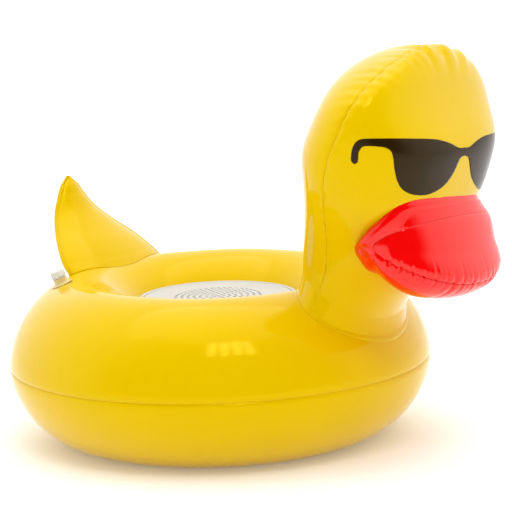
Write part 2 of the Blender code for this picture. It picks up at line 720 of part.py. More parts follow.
def driver(speaker):
    """A 43 mm moving-coil driver, hung under the baffle plate."""
    turned("driver_gasket", [(18.6, 21.7), (21.5, 21.7), (21.5, 23.2), (18.6, 23.2)],
           "black_rubber", speaker)
    turned("driver_basket", [
        (8.6, 8.2), (12.6, 8.2), (17.8, 19.9), (21.5, 19.9), (21.5, 21.4), (16.9, 21.4),
        (12.0, 9.2), (8.6, 9.2)], "plated_steel", speaker)
    turned("top_plate", [(6.7, 6), (12, 6), (12, 7.9), (6.7, 7.9)], "plated_steel", speaker)
    turned("magnet", [(8, 0.7), (13.5, 0.7), (13.5, 5.7), (8, 5.7)], "ferrite", speaker)
    turned("yoke", [(0, -1.6), (13, -1.6), (13, 0.4), (5, 0.4), (5, 7.9), (0, 7.9)],
           "plated_steel", speaker, closed=False)
    roll = [(15.5 + 1.4 * math.cos(a), 21.9 + 1.4 * math.sin(a))
            for a in (math.pi * n / 4 for n in range(5))]
    inner = [(15.5 + 0.9 * math.cos(a), 21.7 + 1.1 * math.sin(a))
             for a in (math.pi * n / 4 for n in range(4, -1, -1))]
    turned("surround", [(18.3, 22.1), *roll, *inner, (18.3, 21.7)], "black_rubber", speaker)
    turned("spider", [(6.5, 12), (8.2, 12.5), (9.9, 12), (11.6, 12.4), (12.9, 12.2),
                      (12.9, 12.6), (11.6, 12.8), (9.9, 12.4), (8.2, 12.9), (6.5, 12.4)],
           "black_fabric", speaker)
    turned("speaker_cone", [(5.7, 15.6), (6.6, 15.5), (13.7, 21.0), (13.7, 21.5),
                            (6.4, 16.1), (5.7, 16.1)], "paper_cone", speaker)
    dome = [(6.9 * math.cos(a), 16.9 + 2.2 * math.sin(a))
            for a in (math.radians(22.5 * n) for n in range(5))]
    under = [(r * 0.93, z - 0.45) for r, z in reversed(dome)]
    under[0] = (0, under[0][1])
    dome[-1] = (0, dome[-1][1])
    turned("dust_cap", [*dome, *under], "paper_cone", speaker)
    turned("voice_coil", [(5.5, 3.0), (6.1, 3.0), (6.1, 15.2), (5.5, 15.2)], "copper_wire",
           speaker)


def electronics(speaker):
    half_x, half_y = BOARD_SIZE[0] / 2, BOARD_SIZE[1] / 2
    board = box("circuit_board", (-half_x, -half_y, BOARD_Z), (half_x, half_y, BOARD_Z + BOARD_T),
                "circuit_board", speaker)
    for sign in (-1, 1):
        cut(board, cylinder_cutter(f"board_hole_{sign + 2}", 1.3 * MM, BOARD_Z - 1 * MM,
                                   BOARD_Z + 3 * MM, speaker, sign * POST_X, 0, steps=10))
    screw("board_screw_1", -POST_X, 0, BOARD_Z + BOARD_T + GAP, 1.9, 0.6, 5, speaker, 1)
    screw("board_screw_2", POST_X, 0, BOARD_Z + BOARD_T + GAP, 1.9, 0.6, 5, speaker, 1)
    box("battery_tray", (-17 * MM, -15 * MM, -12.2 * MM), (17 * MM, 15 * MM, -10.4 * MM),
        "grey_plastic", speaker)
    battery = box("battery_cell", (-16 * MM, -13 * MM, -10.1 * MM), (16 * MM, 13 * MM, -3.6 * MM),
                  "battery_wrap", speaker)
    bevel = battery.modifiers.new("round_edges", "BEVEL")
    bevel.width = 1.5 * MM
    bevel.segments = 2
    bevel.limit_method = "ANGLE"
    wire("driver_lead", [(14.9, 8, 15.0), (18, 9, 12.5), (21.5, 10, 7), (22.5, 10, -2),
                         (22.3, 10, -9), (22.3, 10, -12.2)], speaker)
    wire("battery_lead", [(-16.4, 0, -6.5), (-18.4, 0, -6.2), (-20, 2, -7), (-20.8, 6, -9.5),
                          (-21, 8, -12.2)], speaker)


def wire(name, route, parent, radius=0.6):
    curve = bpy.data.curves.new(name, "CURVE")
    curve.dimensions = "3D"
    curve.bevel_depth = radius * MM
    curve.bevel_resolution = 1
    curve.use_fill_caps = True
    spline = curve.splines.new("POLY")
    spline.points.add(len(route) - 1)
    for knot, (x, y, z) in zip(spline.points, route):
        knot.co = (x * MM, y * MM, z * MM, 1)
    curve.materials.append(material("wire_jacket"))
    obj = bpy.data.objects.new(name, curve)
    bpy.context.collection.objects.link(obj)
    obj.parent = parent


def loudspeaker(frame):
    speaker = add_empty("speaker_axis", (0, 0, 0), frame)
    case(speaker)
    buttons(speaker)
    charging_port(speaker)
    driver(speaker)
    electronics(speaker)


def main():
    clear_scene()
    frame = add_empty("float_frame", (0, FRAME_Y, RING_FOOT))
    inflated_float(frame)
    loudspeaker(frame)


main()
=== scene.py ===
"""Looks for the inflatable duck float and its loudspeaker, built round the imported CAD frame.

Shapes are written in millimetres from the ring's centre, at the height of its weld, and
placed() puts them in the frame. The duck faces -Y, and its own right side is -X.
"""
import math
import random

import bmesh
import bpy
import numpy as np
from mathutils import Matrix, Vector
from mathutils.geometry import tessellate_polygon

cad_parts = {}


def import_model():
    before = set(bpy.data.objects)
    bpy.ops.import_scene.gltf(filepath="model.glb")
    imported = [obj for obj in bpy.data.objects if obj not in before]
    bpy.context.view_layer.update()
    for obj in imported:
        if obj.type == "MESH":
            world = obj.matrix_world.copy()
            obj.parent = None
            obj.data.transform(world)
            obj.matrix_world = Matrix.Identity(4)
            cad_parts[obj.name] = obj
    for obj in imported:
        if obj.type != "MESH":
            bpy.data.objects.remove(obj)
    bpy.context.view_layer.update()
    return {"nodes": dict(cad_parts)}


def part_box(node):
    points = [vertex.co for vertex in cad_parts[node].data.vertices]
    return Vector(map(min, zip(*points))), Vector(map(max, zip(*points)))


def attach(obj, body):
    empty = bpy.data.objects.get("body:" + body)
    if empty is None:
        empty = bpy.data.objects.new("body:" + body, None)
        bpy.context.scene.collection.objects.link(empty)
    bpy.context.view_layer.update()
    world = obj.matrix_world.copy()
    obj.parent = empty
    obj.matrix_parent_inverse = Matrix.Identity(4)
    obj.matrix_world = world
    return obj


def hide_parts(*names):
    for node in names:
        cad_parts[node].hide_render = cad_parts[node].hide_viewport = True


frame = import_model()

MM = 0.001
FILM, INK = 0.4, 0.12  # thickness of the inflated film, and of the print on it
SKIN_LIFT = 0.1  # a piece's foot stands this far clear of the ring's film
ON_AXIS = 1e-6  # a profile's point this near the axis lies on it
SHARP = math.radians(40)  # edges steeper than this are shaded sharp

# Ring: a tube of superelliptic section, pressed flat by the drum and by the table
RING_R, CREST_R, INNER_AXIS = 115, 74.5, 38
RING_TOP, RING_BOTTOM, RING_FOOT, RING_POWER = 46.5, 42.5, 41.8, 1.8
RING_BORE = 44
CREASE_DEPTH, CREASE_WIDTH = 0.9, 0.9
SLACK_DEPTH = 0.22

# Neck and head: height, weld line, half width, depth in front of the weld and behind it
HEAD_STATIONS = np.array((
    (8, -82, 35, 25, 28),
    (25, -80, 37.5, 26, 25),
    (45, -88.5, 37.5, 30, 24),
    (65, -95.5, 39, 37, 30),
    (85, -103, 51, 45, 31),
    (105, -109.5, 62.5, 43.5, 31.5),
    (125, -115.5, 66, 41, 39.2),
    (145, -125.2, 63.5, 21, 39.4)), float)
CROWN_Y, CROWN_Z = -135.5, 173.7
CROWN_POWERS = (1.57, 1.5, 2.6)  # roundness of the width, the front and the back
CROWN_SHIFT = 1.25  # how fast the weld line moves forward
BLEND = 9  # the sections are averaged over this much height
FACE_POWER = 2.6  # the face is flatter than an ellipse
FACE_START, FACE_RISE = 60, 40  # it flattens from this height, over this much height
FLARE = 3.0  # how far the neck's foot flares out to its weld
CUFF = 9  # height of the flared part
LIP = 1.5  # width of the weld beyond the flare
HUB_Z = 110  # the crown's folds point at this height on the face
HEAD_CORE = np.array((0, -112, 100))

# Beak: pitch round its poles in degrees, and the section's reach at that pitch
BEAK_STATIONS = ((-180, 20), (-140, 15), (-105, 16), (-75, 19.5), (-50, 34.7), (-21, 50.3),
                 (0, 43), (24, 41.2))
BEAK_HALF, BEAK_Y, BEAK_Z = 50, -116, 70.5
BEAK_ROLL = 0.07
POLE_GAP = 0.05  # the panels stop this many degrees short of the poles
BAND_EASE = 1.8  # crowds the root band's weld towards the beak's corners
BAND_END = 35  # degrees from each pole that the band's end follows the lower panel
BAND_HOLLOW, BAND_BULGE = -0.6, 3.9  # swell of the root band in its middle, and more at its ends
BEAK_RIM, BEAK_SEAM = -21, 24  # pitch of the front rim weld and of the upper weld
BEAK_CORE = np.array((0, -135, 70))
HIDDEN_DEPTH = 1.6  # the beak's film ends this far below the head's skin

# The root band's weld on the face: degrees round the head from its front, and height
ROOT_WELD = ((0, 96.9), (11, 96.9), (22, 96.7), (33, 95.9), (40, 94), (45.2, 91.5), (50.5, 87.6),
             (54.8, 83.6), (59, 79.8), (62.2, 76), (64.8, 72.5), (66.2, 69), (66.4, 67))
ROOT_SLOPE = 0.12  # the weld, like the beak, is higher on the duck's right

# Cheek: a fullness below each corner of the beak; where it is, how wide, and how far it swells
CHEEK_PLACE = (42, 4, -9)
CHEEK_WIDTH = 8
CHEEK_SWELL = (1.2, -1.1, -0.4)

# Tail: height, distance behind the centre, half width, half depth
TAIL_STATIONS = np.array((
    (36, 64, 38.5, 9), (44, 74.4, 37.7, 9), (50, 81.4, 36.1, 10), (58, 89.6, 31, 10),
    (66, 98.2, 23.8, 8.5), (74, 104.5, 16.9, 6.5), (82, 107.3, 11.2, 4.5), (88, 108.4, 7.1, 3),
    (93, 109.3, 1.5, 1.2)), float)
TAIL_TURN = math.radians(-6)
TAIL_FLANGE = 1.8  # width of the flat weld along each edge
TAIL_SHIFT = 0.28  # each panel stands this far off the weld's own surface
TAIL_CORE = np.array((0, 90, 66))

# Valve: where it stands, how high, and the axis it leans along
VALVE_X, VALVE_Y = -50.0, 68.0
VALVE_LEAN = (-0.2123, 0.2887, 0.9336)

# Drum: outer radius, radius inside the wall, and heights
DRUM_R, DRUM_BORE, DRUM_TOP, DRUM_BOTTOM, FLOOR_TOP = 43.5, 41, 33.8, -22, -19.5
HOLE_R, HOLE_PITCH, HOLE_RINGS = 0.95, 3.3, 7
POST_PLACE_R, BOARD_POST_X = 36, 23  # the case's posts, and the circuit board's
PORT_Y = 14
BUTTON_PLACES = {"button_power": (0, -16), "button_volume_down": (-14, -8),
                 "button_volume_up": (14, -8), "button_play": (0, 0)}

ring_low, ring_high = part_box("ring_upper_panel")
ORIGIN = np.array(((ring_low.x + ring_high.x) / 2, (ring_low.y + ring_high.y) / 2,
                   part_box("ring_lower_panel")[0].z + RING_FOOT * MM))


# ---- helpers

def placed(points):
    """From the script's millimetres to the frame's metres."""
    return ORIGIN + MM * np.asarray(points, float)


def smooth_step(x):
    x = np.clip(x, 0, 1)
    return x * x * (3 - 2 * x)


def spaced(count, even):
    """Values from 0 to 1, closer at both ends unless even is 1."""
    t = np.linspace(0, 1, count)
    return even * t + (1 - even) * (0.5 - 0.5 * np.cos(np.pi * t))


def catmull_rom(a, b, c, d, t):
    """The curve from b to c at t, with a and d as its neighbours."""
    return 0.5 * (2 * b + (c - a) * t + (2 * a - 5 * b + 4 * c - d) * t ** 2
                  + (3 * b - a - 3 * c + d) * t ** 3)


def stations(table, z):
    """Smooth rows of a station table whose first column is the height."""
    i = np.clip(np.searchsorted(table[:, 0], z, side="right") - 1, 0, len(table) - 2)
    t = ((z - table[i, 0]) / (table[i + 1, 0] - table[i, 0]))[..., None]
    row = catmull_rom(table[np.maximum(i - 1, 0), 1:], table[i, 1:], table[i + 1, 1:],
                      table[np.minimum(i + 2, len(table) - 1), 1:], t)
    return np.moveaxis(row, -1, 0)


def power(value, exponent):
    """A power that keeps the sign of its value."""
    return np.sign(value) * np.abs(value) ** exponent


def crease(distance, width):
    """Depth of a weld's groove, 1 on the weld itself."""
    return np.exp(-(distance / width) ** 1.3)


def fold(off, shoulder, place, width):
    """Section of a fold: a groove at 0 with a shoulder on each side of it."""
    return -np.exp(-off ** 2) + shoulder * np.exp(-((np.abs(off) - place) / width) ** 2)


def run_length(points):
    """Distance along a run of points, from its first."""
    return np.concatenate([[0], np.cumsum(np.linalg.norm(np.diff(points, axis=0), axis=1))])


def grid_normals(grid, core):
    """Unit normals of a (rows, columns, 3) grid, pointing away from the core points."""
    normal = np.cross(np.gradient(grid, axis=0), np.gradient(grid, axis=1))
    size = np.linalg.norm(normal, axis=-1, keepdims=True)
    normal = normal / np.maximum(size, 1e-9)
    return normal * np.sign(((grid - core) * normal).sum(-1, keepdims=True).sum())


def linked(name, data):
    """A new object in the scene."""
    obj = bpy.data.objects.new(name, data)
    bpy.context.scene.collection.objects.link(obj)
    return obj


def new_object(name, mesh, material, body, replaces=()):
    """A piece that rides on a body and the nodes it stands for."""
    mesh.materials.append(material)
    obj = linked(name, mesh)
    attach(obj, body)
    if replaces:
        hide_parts(*replaces)
    return obj


def film_mesh(name, grid, core, drop):
    """A smooth sheet through a grid of points in mm, its faces turned away from core.

    core is a point, or a function that gives one for each point. drop marks faces to leave out.
    """
    rows, columns = grid.shape[:2]
    index = np.arange(rows * columns).reshape(rows, columns)
    quads = np.stack([index[:-1, :-1], index[:-1, 1:], index[1:, 1:], index[1:, :-1]], -1)
    quads = quads.reshape(-1, 4)
    flat = grid.reshape(-1, 3)
    a, b, c, d = (flat[quads[:, k]] for k in range(4))
    middle = (a + b + c + d) / 4
    inside = core(middle) if callable(core) else core
    away = (np.cross(c - a, d - b) * (middle - inside)).sum()
    if drop is not None:
        quads = quads[~drop(middle)]
    if away < 0:
        quads = quads[:, ::-1]
    mesh = bpy.data.meshes.new(name)
    mesh.from_pydata(placed(flat).tolist(), [], quads.tolist())
    bm = bmesh.new()
    bm.from_mesh(mesh)
    bmesh.ops.remove_doubles(bm, verts=bm.verts, dist=2e-6)
    loose = [v for v in bm.verts if not v.link_faces]
    bmesh.ops.delete(bm, geom=loose, context="VERTS")
    bm.to_mesh(mesh)
    bm.free()
    mesh.shade_smooth()
    return mesh


def thicken(obj, thickness):
    """Give a sheet its thickness, on its inner side."""
    skin = obj.modifiers.new("film", "SOLIDIFY")
    skin.thickness = thickness * MM
    skin.offset = -1


def film_object(node, grid, core, material, drop=None):
    """One welded panel of the float, in place of its CAD node."""
    name = node.rsplit("_", 1)[0] + "_skin"
    mesh = film_mesh(name, grid, core, drop)
    thicken(new_object(name, mesh, material, "duck_float", (node,)), FILM)


def turned_bmesh(profile, steps, centre=(0, 0)):
    """A closed profile of (radius, height), turned round the vertical through centre."""
    bm = bmesh.new()
    rings = []
    for r, z in profile:
        if r < ON_AXIS:
            rings.append([bm.verts.new(placed((*centre, z)))])
            continue
        rings.append([bm.verts.new(placed((centre[0] + r * math.cos(math.tau * k / steps),
                                           centre[1] + r * math.sin(math.tau * k / steps), z)))
                      for k in range(steps)])
    for first, second in zip(rings, rings[1:] + rings[:1]):
        if len(first) == 1 and len(second) == 1:
            continue
        for k in range(steps):
            n = (k + 1) % steps
            loop = [first[k % len(first)], first[n % len(first)],
                    second[n % len(second)], second[k % len(second)]]
            bm.faces.new(list(dict.fromkeys(loop)))
    bmesh.ops.recalc_face_normals(bm, faces=bm.faces)
    return bm


def rounded(profile, radius, steps=3):
    """Round the corners of a closed profile, except on the axis."""
    out = []
    count = len(profile)
    for i, p in enumerate(profile):
        before, after = np.array(profile[i - 1], float), np.array(profile[(i + 1) % count], float)
        p = np.array(p, float)
        if p[0] < ON_AXIS:
            out.append(tuple(p))
            continue
        u, v = before - p, after - p
        reach = min(radius, 0.45 * np.linalg.norm(u), 0.45 * np.linalg.norm(v))
        start = p + u / np.linalg.norm(u) * reach
        end = p + v / np.linalg.norm(v) * reach
        for k in range(steps + 1):
            t = k / steps
            out.append(tuple((1 - t) ** 2 * start + 2 * t * (1 - t) * p + t ** 2 * end))
    return out


def shade(mesh):
    mesh.shade_smooth()
    mesh.set_sharp_from_angle(angle=SHARP)


def mesh_from(name, bm):
    mesh = bpy.data.meshes.new(name)
    bm.to_mesh(mesh)
    bm.free()
    shade(mesh)
    return mesh


def turned(name, node, profile, material, steps, radius=0.3, body="speaker"):
    """A turned piece with rounded corners, in place of its CAD node."""
    bm = turned_bmesh(rounded(profile, radius), steps)
    return new_object(name, mesh_from(name, bm), material, body, (node,))


def apply_booleans(obj, operation, tools):
    """Cut or join tools into obj, and remove them."""
    for tool in tools:
        mod = obj.modifiers.new("tool", "BOOLEAN")
        mod.operation = operation
        mod.object = tool
        mod.solver = "EXACT"
    dg = bpy.context.evaluated_depsgraph_get()
    mesh = bpy.data.meshes.new_from_object(obj.evaluated_get(dg))
    obj.modifiers.clear()
    obj.data = mesh
    for tool in tools:
        bpy.data.objects.remove(tool)
    shade(mesh)


def tool_object(bm):
    """A body for apply_booleans to use up."""
    mesh = bpy.data.meshes.new("tool")
    bm.to_mesh(mesh)
    bm.free()
    return linked("tool", mesh)


def cylinder_tool(radius, low, high, x, y, steps=32):
    return tool_object(turned_bmesh([(0, low), (radius, low), (radius, high), (0, high)],
                                    steps, (x, y)))


# ---- materials

RELIEF = 0.0002  # height of the finishes' relief


def link(mat, source, target):
    mat.node_tree.links.new(source, target)


def add_node(mat, kind, **values):
    """A shader node; each value is set on the node itself or on its input of that name."""
    node = mat.node_tree.nodes.new(kind)
    for key, value in values.items():
        if hasattr(node, key):
            setattr(node, key, value)
        else:
            node.inputs[key].default_value = value
    return node


def finish(name, colour, roughness, vary, grain, bump, spread=60.0, **sockets):
    """Principled shader with a slight mottle in colour and roughness, and a fine surface grain.

    vary is the mottle's strength and spread its scale; grain is the relief's scale and bump its
    strength. Any other value goes to the shader's own socket of that name.
    """
    mat = bpy.data.materials.new(name)
    mat.use_nodes = True
    shader = mat.node_tree.nodes["Principled BSDF"]
    for key, value in sockets.items():
        shader.inputs[key.replace("_", " ")].default_value = value
    place = add_node(mat, "ShaderNodeTexCoord")
    mottle = add_node(mat, "ShaderNodeTexNoise", Scale=spread, Detail=3.0)
    link(mat, place.outputs["Object"], mottle.inputs["Vector"])
    ramp = add_node(mat, "ShaderNodeValToRGB")
    ramp.color_ramp.elements[0].position = 0.3
    ramp.color_ramp.elements[1].position = 0.7
    ramp.color_ramp.elements[0].color = (*[c * (1 - vary) for c in colour], 1)
    ramp.color_ramp.elements[1].color = (*[min(1.0, c * (1 + vary)) for c in colour], 1)
    link(mat, mottle.outputs["Fac"], ramp.inputs["Fac"])
    link(mat, ramp.outputs["Color"], shader.inputs["Base Color"])
    rough = add_node(mat, "ShaderNodeMapRange")
    rough.inputs["To Min"].default_value = roughness * 0.85
    rough.inputs["To Max"].default_value = roughness * 1.15
    link(mat, mottle.outputs["Fac"], rough.inputs["Value"])
    link(mat, rough.outputs["Result"], shader.inputs["Roughness"])
    fine = add_node(mat, "ShaderNodeTexNoise", Scale=grain, Detail=2.0)
    link(mat, place.outputs["Object"], fine.inputs["Vector"])
    relief = add_node(mat, "ShaderNodeBump", Strength=bump, Distance=RELIEF)
    link(mat, fine.outputs["Fac"], relief.inputs["Height"])
    link(mat, relief.outputs["Normal"], shader.inputs["Normal"])
    return mat


YELLOW = finish("yellow_film", (0.755, 0.498, 0.0), 0.10, vary=0.012, grain=260, bump=0.04,
                spread=25, IOR=1.45, Specular_Tint=(1.0, 0.72, 0.07, 1))
RED = finish("red_film", (0.86, 0.001, 0.001), 0.09, vary=0.02, grain=260, bump=0.04,
             spread=25, IOR=1.62, Specular_Tint=(1.0, 0.75, 0.65, 1))
PRINT = finish("sunglasses_print", (0.024, 0.011, 0.002), 0.14, vary=0.15, grain=900, bump=0.10,
               spread=120, IOR=1.30, Specular_Tint=(1.0, 0.85, 0.55, 1))
CLEAR = finish("clear_vinyl", (0.92, 0.92, 0.88), 0.14, vary=0.03, grain=500, bump=0.06,
               IOR=1.5, Transmission_Weight=0.45)
CLEAR_FOOT = finish("clear_vinyl_foot", (0.93, 0.76, 0.34), 0.16, vary=0.03, grain=500, bump=0.06,
                    IOR=1.4, Transmission_Weight=0.25)
PLASTIC = finish("light_grey_plastic", (0.57, 0.575, 0.555), 0.42,
                 vary=0.025, grain=1800, bump=0.25)
TRIM = finish("grey_plastic", (0.60, 0.59, 0.56), 0.38, vary=0.03, grain=1800, bump=0.25)
RUBBER = finish("grey_rubber", (0.30, 0.30, 0.30), 0.62, vary=0.06, grain=1500, bump=0.35)
BLACK_RUBBER = finish("black_rubber", (0.025, 0.025, 0.027), 0.7, vary=0.1, grain=1500, bump=0.3)
PAPER = finish("paper_cone", (0.045, 0.045, 0.05), 0.85, vary=0.2, grain=2600, bump=0.6)
STEEL = finish("plated_steel", (0.62, 0.62, 0.60), 0.28,
               vary=0.05, grain=900, bump=0.1, Metallic=1.0)
FERRITE = finish("ferrite", (0.05, 0.05, 0.055), 0.6, vary=0.15, grain=1200, bump=0.4)
COPPER = finish("copper_wire", (0.72, 0.32, 0.14), 0.32,
                vary=0.08, grain=2400, bump=0.4, Metallic=1.0)
WRAP = finish("battery_wrap", (0.08, 0.20, 0.48), 0.3, vary=0.05, grain=300, bump=0.1)
JACKET = finish("wire_jacket", (0.48, 0.02, 0.02), 0.4, vary=0.06, grain=900, bump=0.1)


def woven(name, colour, pitch):
    """Cloth of crossed threads: two wave patterns at right angles."""
    mat = finish(name, colour, 0.85, vary=0.15, grain=3000, bump=0.5)
    place = add_node(mat, "ShaderNodeTexCoord")
    relief = next(n for n in mat.node_tree.nodes if n.type == "BUMP")
    shader = mat.node_tree.nodes["Principled BSDF"]
    for axis in ("X", "Y"):
        wave = add_node(mat, "ShaderNodeTexWave", bands_direction=axis, Scale=pitch)
        link(mat, place.outputs["Object"], wave.inputs["Vector"])
        thread = add_node(mat, "ShaderNodeBump", Strength=0.6, Distance=RELIEF)
        link(mat, wave.outputs["Fac"], thread.inputs["Height"])
        link(mat, relief.outputs["Normal"], thread.inputs["Normal"])
        relief = thread
    link(mat, relief.outputs["Normal"], shader.inputs["Normal"])
    return mat


FABRIC = woven("black_fabric", (0.035, 0.035, 0.04), 500)
MESH_CLOTH = woven("grille_cloth", (0.60, 0.59, 0.56), 500)


def board_finish():
    """Green solder mask with paler tracks."""
    mask = (0.015, 0.15, 0.055)
    mat = finish("circuit_board", mask, 0.35, vary=0.08, grain=700, bump=0.1)
    place = add_node(mat, "ShaderNodeTexCoord")
    tracks = add_node(mat, "ShaderNodeTexBrick", Scale=180.0, Color1=(*mask, 1),
                      Color2=(0.018, 0.17, 0.06, 1), Mortar=(0.05, 0.30, 0.12, 1))
    link(mat, place.outputs["Object"], tracks.inputs["Vector"])
    link(mat, tracks.outputs["Color"], mat.node_tree.nodes["Principled BSDF"].inputs["Base Color"])
    return mat


BOARD = board_finish()


# ---- the ring

def ring_section(angle):
    """(radius, height) of the tube's section; 0 is the outer weld, pi the inner one."""
    c, s = power(np.cos(angle), 2 / RING_POWER), power(np.sin(angle), 2 / RING_POWER)
    reach = np.where(c > 0, RING_R - CREST_R, INNER_AXIS)
    height = np.where(s > 0, RING_TOP, RING_BOTTOM)
    return np.maximum(CREST_R + reach * c, RING_BORE), np.maximum(height * s, -RING_FOOT)


def ring_height(x, y):
    """Height of the ring's upper skin at a place seen from above."""
    off = np.hypot(x, y) - CREST_R
    reach = np.where(off > 0, RING_R - CREST_R, INNER_AXIS)
    inside = np.maximum(0, 1 - np.abs(off / reach) ** RING_POWER)
    return RING_TOP * inside ** (1 / RING_POWER)


def ring_core(points):
    """The middle of the tube, next to each point."""
    flat = points[..., :2]
    reach = np.linalg.norm(flat, axis=-1, keepdims=True)
    return np.concatenate([flat / np.maximum(reach, 1e-9) * CREST_R, 0 * reach], -1)


VALVE = np.array((VALVE_X, VALVE_Y, float(ring_height(VALVE_X, VALVE_Y))))
VALVE_AXIS = np.array(VALVE_LEAN) / np.linalg.norm(VALVE_LEAN)


def under_valve(points):
    """The film that is cut away for the valve's stem."""
    off = points - VALVE
    along = off @ VALVE_AXIS
    away = np.linalg.norm(off - along[..., None] * VALVE_AXIS, axis=-1)
    return (away < 4.4) & (np.abs(along) < 6)


def waves(rng, least, runs):
    """Mean of sine waves along runs of angles, each with a seeded height and start."""
    total = sum(rng.uniform(least, 1) * np.sin(run + rng.uniform(0, 6.3)) for run in runs)
    return total / len(runs)


def ring_grid(side, across=64, around=300):
    """The upper (side 1) or lower half of the creased tube."""
    section = side * np.pi * spaced(across, 0)
    turn = np.linspace(0, math.tau, around + 1)
    a, th = np.meshgrid(section, turn, indexing="ij")
    r, z = ring_section(a)
    away = np.abs(z)
    rng = np.random.default_rng(7)
    pucker = waves(rng, 0.3, [n * th for n in (58, 73, 91, 114, 139)])
    slack = waves(rng, 0.4, [n * th + m * a for n, m in ((3, 1), (5, 2), (8, 1), (11, 3))])
    weld = (0.16 * pucker * np.exp(-away / 2.2) * (1 - np.exp(-(away / 0.7) ** 2))
            - CREASE_DEPTH * crease(away, CREASE_WIDTH))
    # The film is taut against the drum and the table, and a little slack elsewhere
    free = smooth_step((r - RING_BORE - 2) / 8) * smooth_step((z + RING_FOOT) / 6)
    lift = np.where(r > CREST_R, weld, 0) + SLACK_DEPTH * slack * free
    out, up = r - CREST_R, z
    size = np.maximum(np.hypot(out, up), 1e-9)
    r, z = r + lift * out / size, z + lift * up / size
    return np.stack([r * np.cos(th), r * np.sin(th), z], -1)


def ring():
    film_object("ring_upper_panel", ring_grid(1), ring_core, YELLOW, under_valve)
    film_object("ring_lower_panel", ring_grid(-1), ring_core, YELLOW)


# ---- neck and head

def plain_head_section(z):
    """Weld line, half width, front depth and back depth at height z."""
    top = HEAD_STATIONS[-1, 0]
    seam, half, front, back = stations(HEAD_STATIONS, np.minimum(z, top))
    rise = np.clip((z - top) / (CROWN_Z - top), 0, 1)
    width, ahead, behind = (np.maximum(1 - rise ** n, 0) ** (1 / n) for n in CROWN_POWERS)
    seam = seam + (CROWN_Y - seam) * rise ** CROWN_SHIFT
    return np.stack([seam, half * width, front * ahead, back * behind])


def head_section(z):
    """The plain section averaged over some height, so that no ridge is left."""
    z = np.asarray(z, float)
    span = BLEND * smooth_step((CROWN_Z - z) / (2.5 * BLEND))
    return sum(plain_head_section(np.minimum(z + span * k / 4, CROWN_Z)) for k in range(-4, 5)) / 9


def face_power(z):
    """Roundness of the head's front half: 2 is an ellipse."""
    return 2 + (FACE_POWER - 2) * np.clip((z - FACE_START) / FACE_RISE, 0, 1)


def head_shape(angle, z, grow=0.0):
    """The head's skin without its creases; angle 0 is the duck's right, pi/2 the front."""
    seam, half, front, back = head_section(z)
    c, s = np.cos(angle), np.sin(angle)
    flat = np.where(s > 0, face_power(z), 2.0)
    reach = (np.abs(c) ** flat + np.abs(s) ** flat) ** (-1 / flat)
    depth = np.where(s > 0, front, back) + grow
    return np.stack([-(half + grow) * c * reach, seam - depth * s * reach, z + 0 * angle], -1)


# The deepest folds: place round the hub, depth, half width, and length in front and behind
CROWN_FOLDS = ((-8.0, 0.7, 3.0, 8.0, 6.0), (6.0, 1.5, 3.8, 11.0, 6.0), (20.0, 1.6, 3.6, 10.0, 6.0),
               (34.0, 1.0, 3.2, 9.0, 6.0))


def gather_list():
    """All folds across the head's weld, longest and deepest near the crown."""
    rng = random.Random(11)
    folds = []
    place = -150.0
    while place < 150:
        high = math.exp(-(place / 70) ** 2)
        folds.append((place, (0.14 + 0.26 * high) * rng.uniform(0.6, 1.4), rng.uniform(1.3, 2.4),
                      (5 + 4 * high) * rng.uniform(0.7, 1.3),
                      (5 + 5 * high) * rng.uniform(0.7, 1.3)))
        place += rng.uniform(5.0, 9.0)
    return folds + list(CROWN_FOLDS)


HEAD_GATHERS = gather_list()


def weld_table():
    """Place of the head's weld by direction from the hub, for the duck's left side."""
    z = np.concatenate([np.linspace(30, 140, 111), 140 + (CROWN_Z - 140) * np.sin(
        np.linspace(0, np.pi / 2, 120)[1:])])
    seam, half, _, _ = head_section(z)
    return np.degrees(np.arctan2(half, z - HUB_Z))[::-1], half[::-1], seam[::-1], z[::-1]


WELD = weld_table()


def head_lift(points):
    """Height of the creases and folds over the plain skin, at points on it."""
    seam = head_section(points[..., 2])[0]
    ahead = seam - points[..., 1]
    direction = np.degrees(np.arctan2(points[..., 0], points[..., 2] - HUB_Z))
    side = np.abs(direction)
    x, y, z = (np.interp(side, WELD[0], WELD[k]) for k in (1, 2, 3))
    gap = np.sqrt((np.abs(points[..., 0]) - x) ** 2 + (points[..., 1] - y) ** 2
                  + (points[..., 2] - z) ** 2)
    sway = 0.45 * np.sin(direction / 2.3) + 0.35 * np.sin(direction / 1.1 + 1)
    lift = -0.65 * crease(np.abs(ahead - sway), 0.9)
    for place, deep, wide, front, back in HEAD_GATHERS:
        reach = np.where(ahead > 0, front, back)
        lift = lift + (deep * fold((direction - place) / wide, 0.4, 1.9, 1.0)
                       * np.exp(-(gap / reach) ** 1.8))
    return lift


def neck_flare(angle):
    """Flare and lip round the neck, smaller at its back."""
    back = np.clip(-np.sin(angle), 0, 1)
    return FLARE * (1 - 0.75 * back), LIP * (1 - 0.6 * back)


def foot_height(shape, angle, start):
    """Height where a skin that stands on the ring meets it, found by stepping from start."""
    z = np.full_like(angle, start)
    for _ in range(60):
        p = shape(z)
        z = z + 0.5 * (ring_height(p[..., 0], p[..., 1]) + SKIN_LIFT - z)
    return z


def neck_foot(angle, grow):
    return foot_height(lambda z: head_shape(angle, z, grow), angle, 30.0)


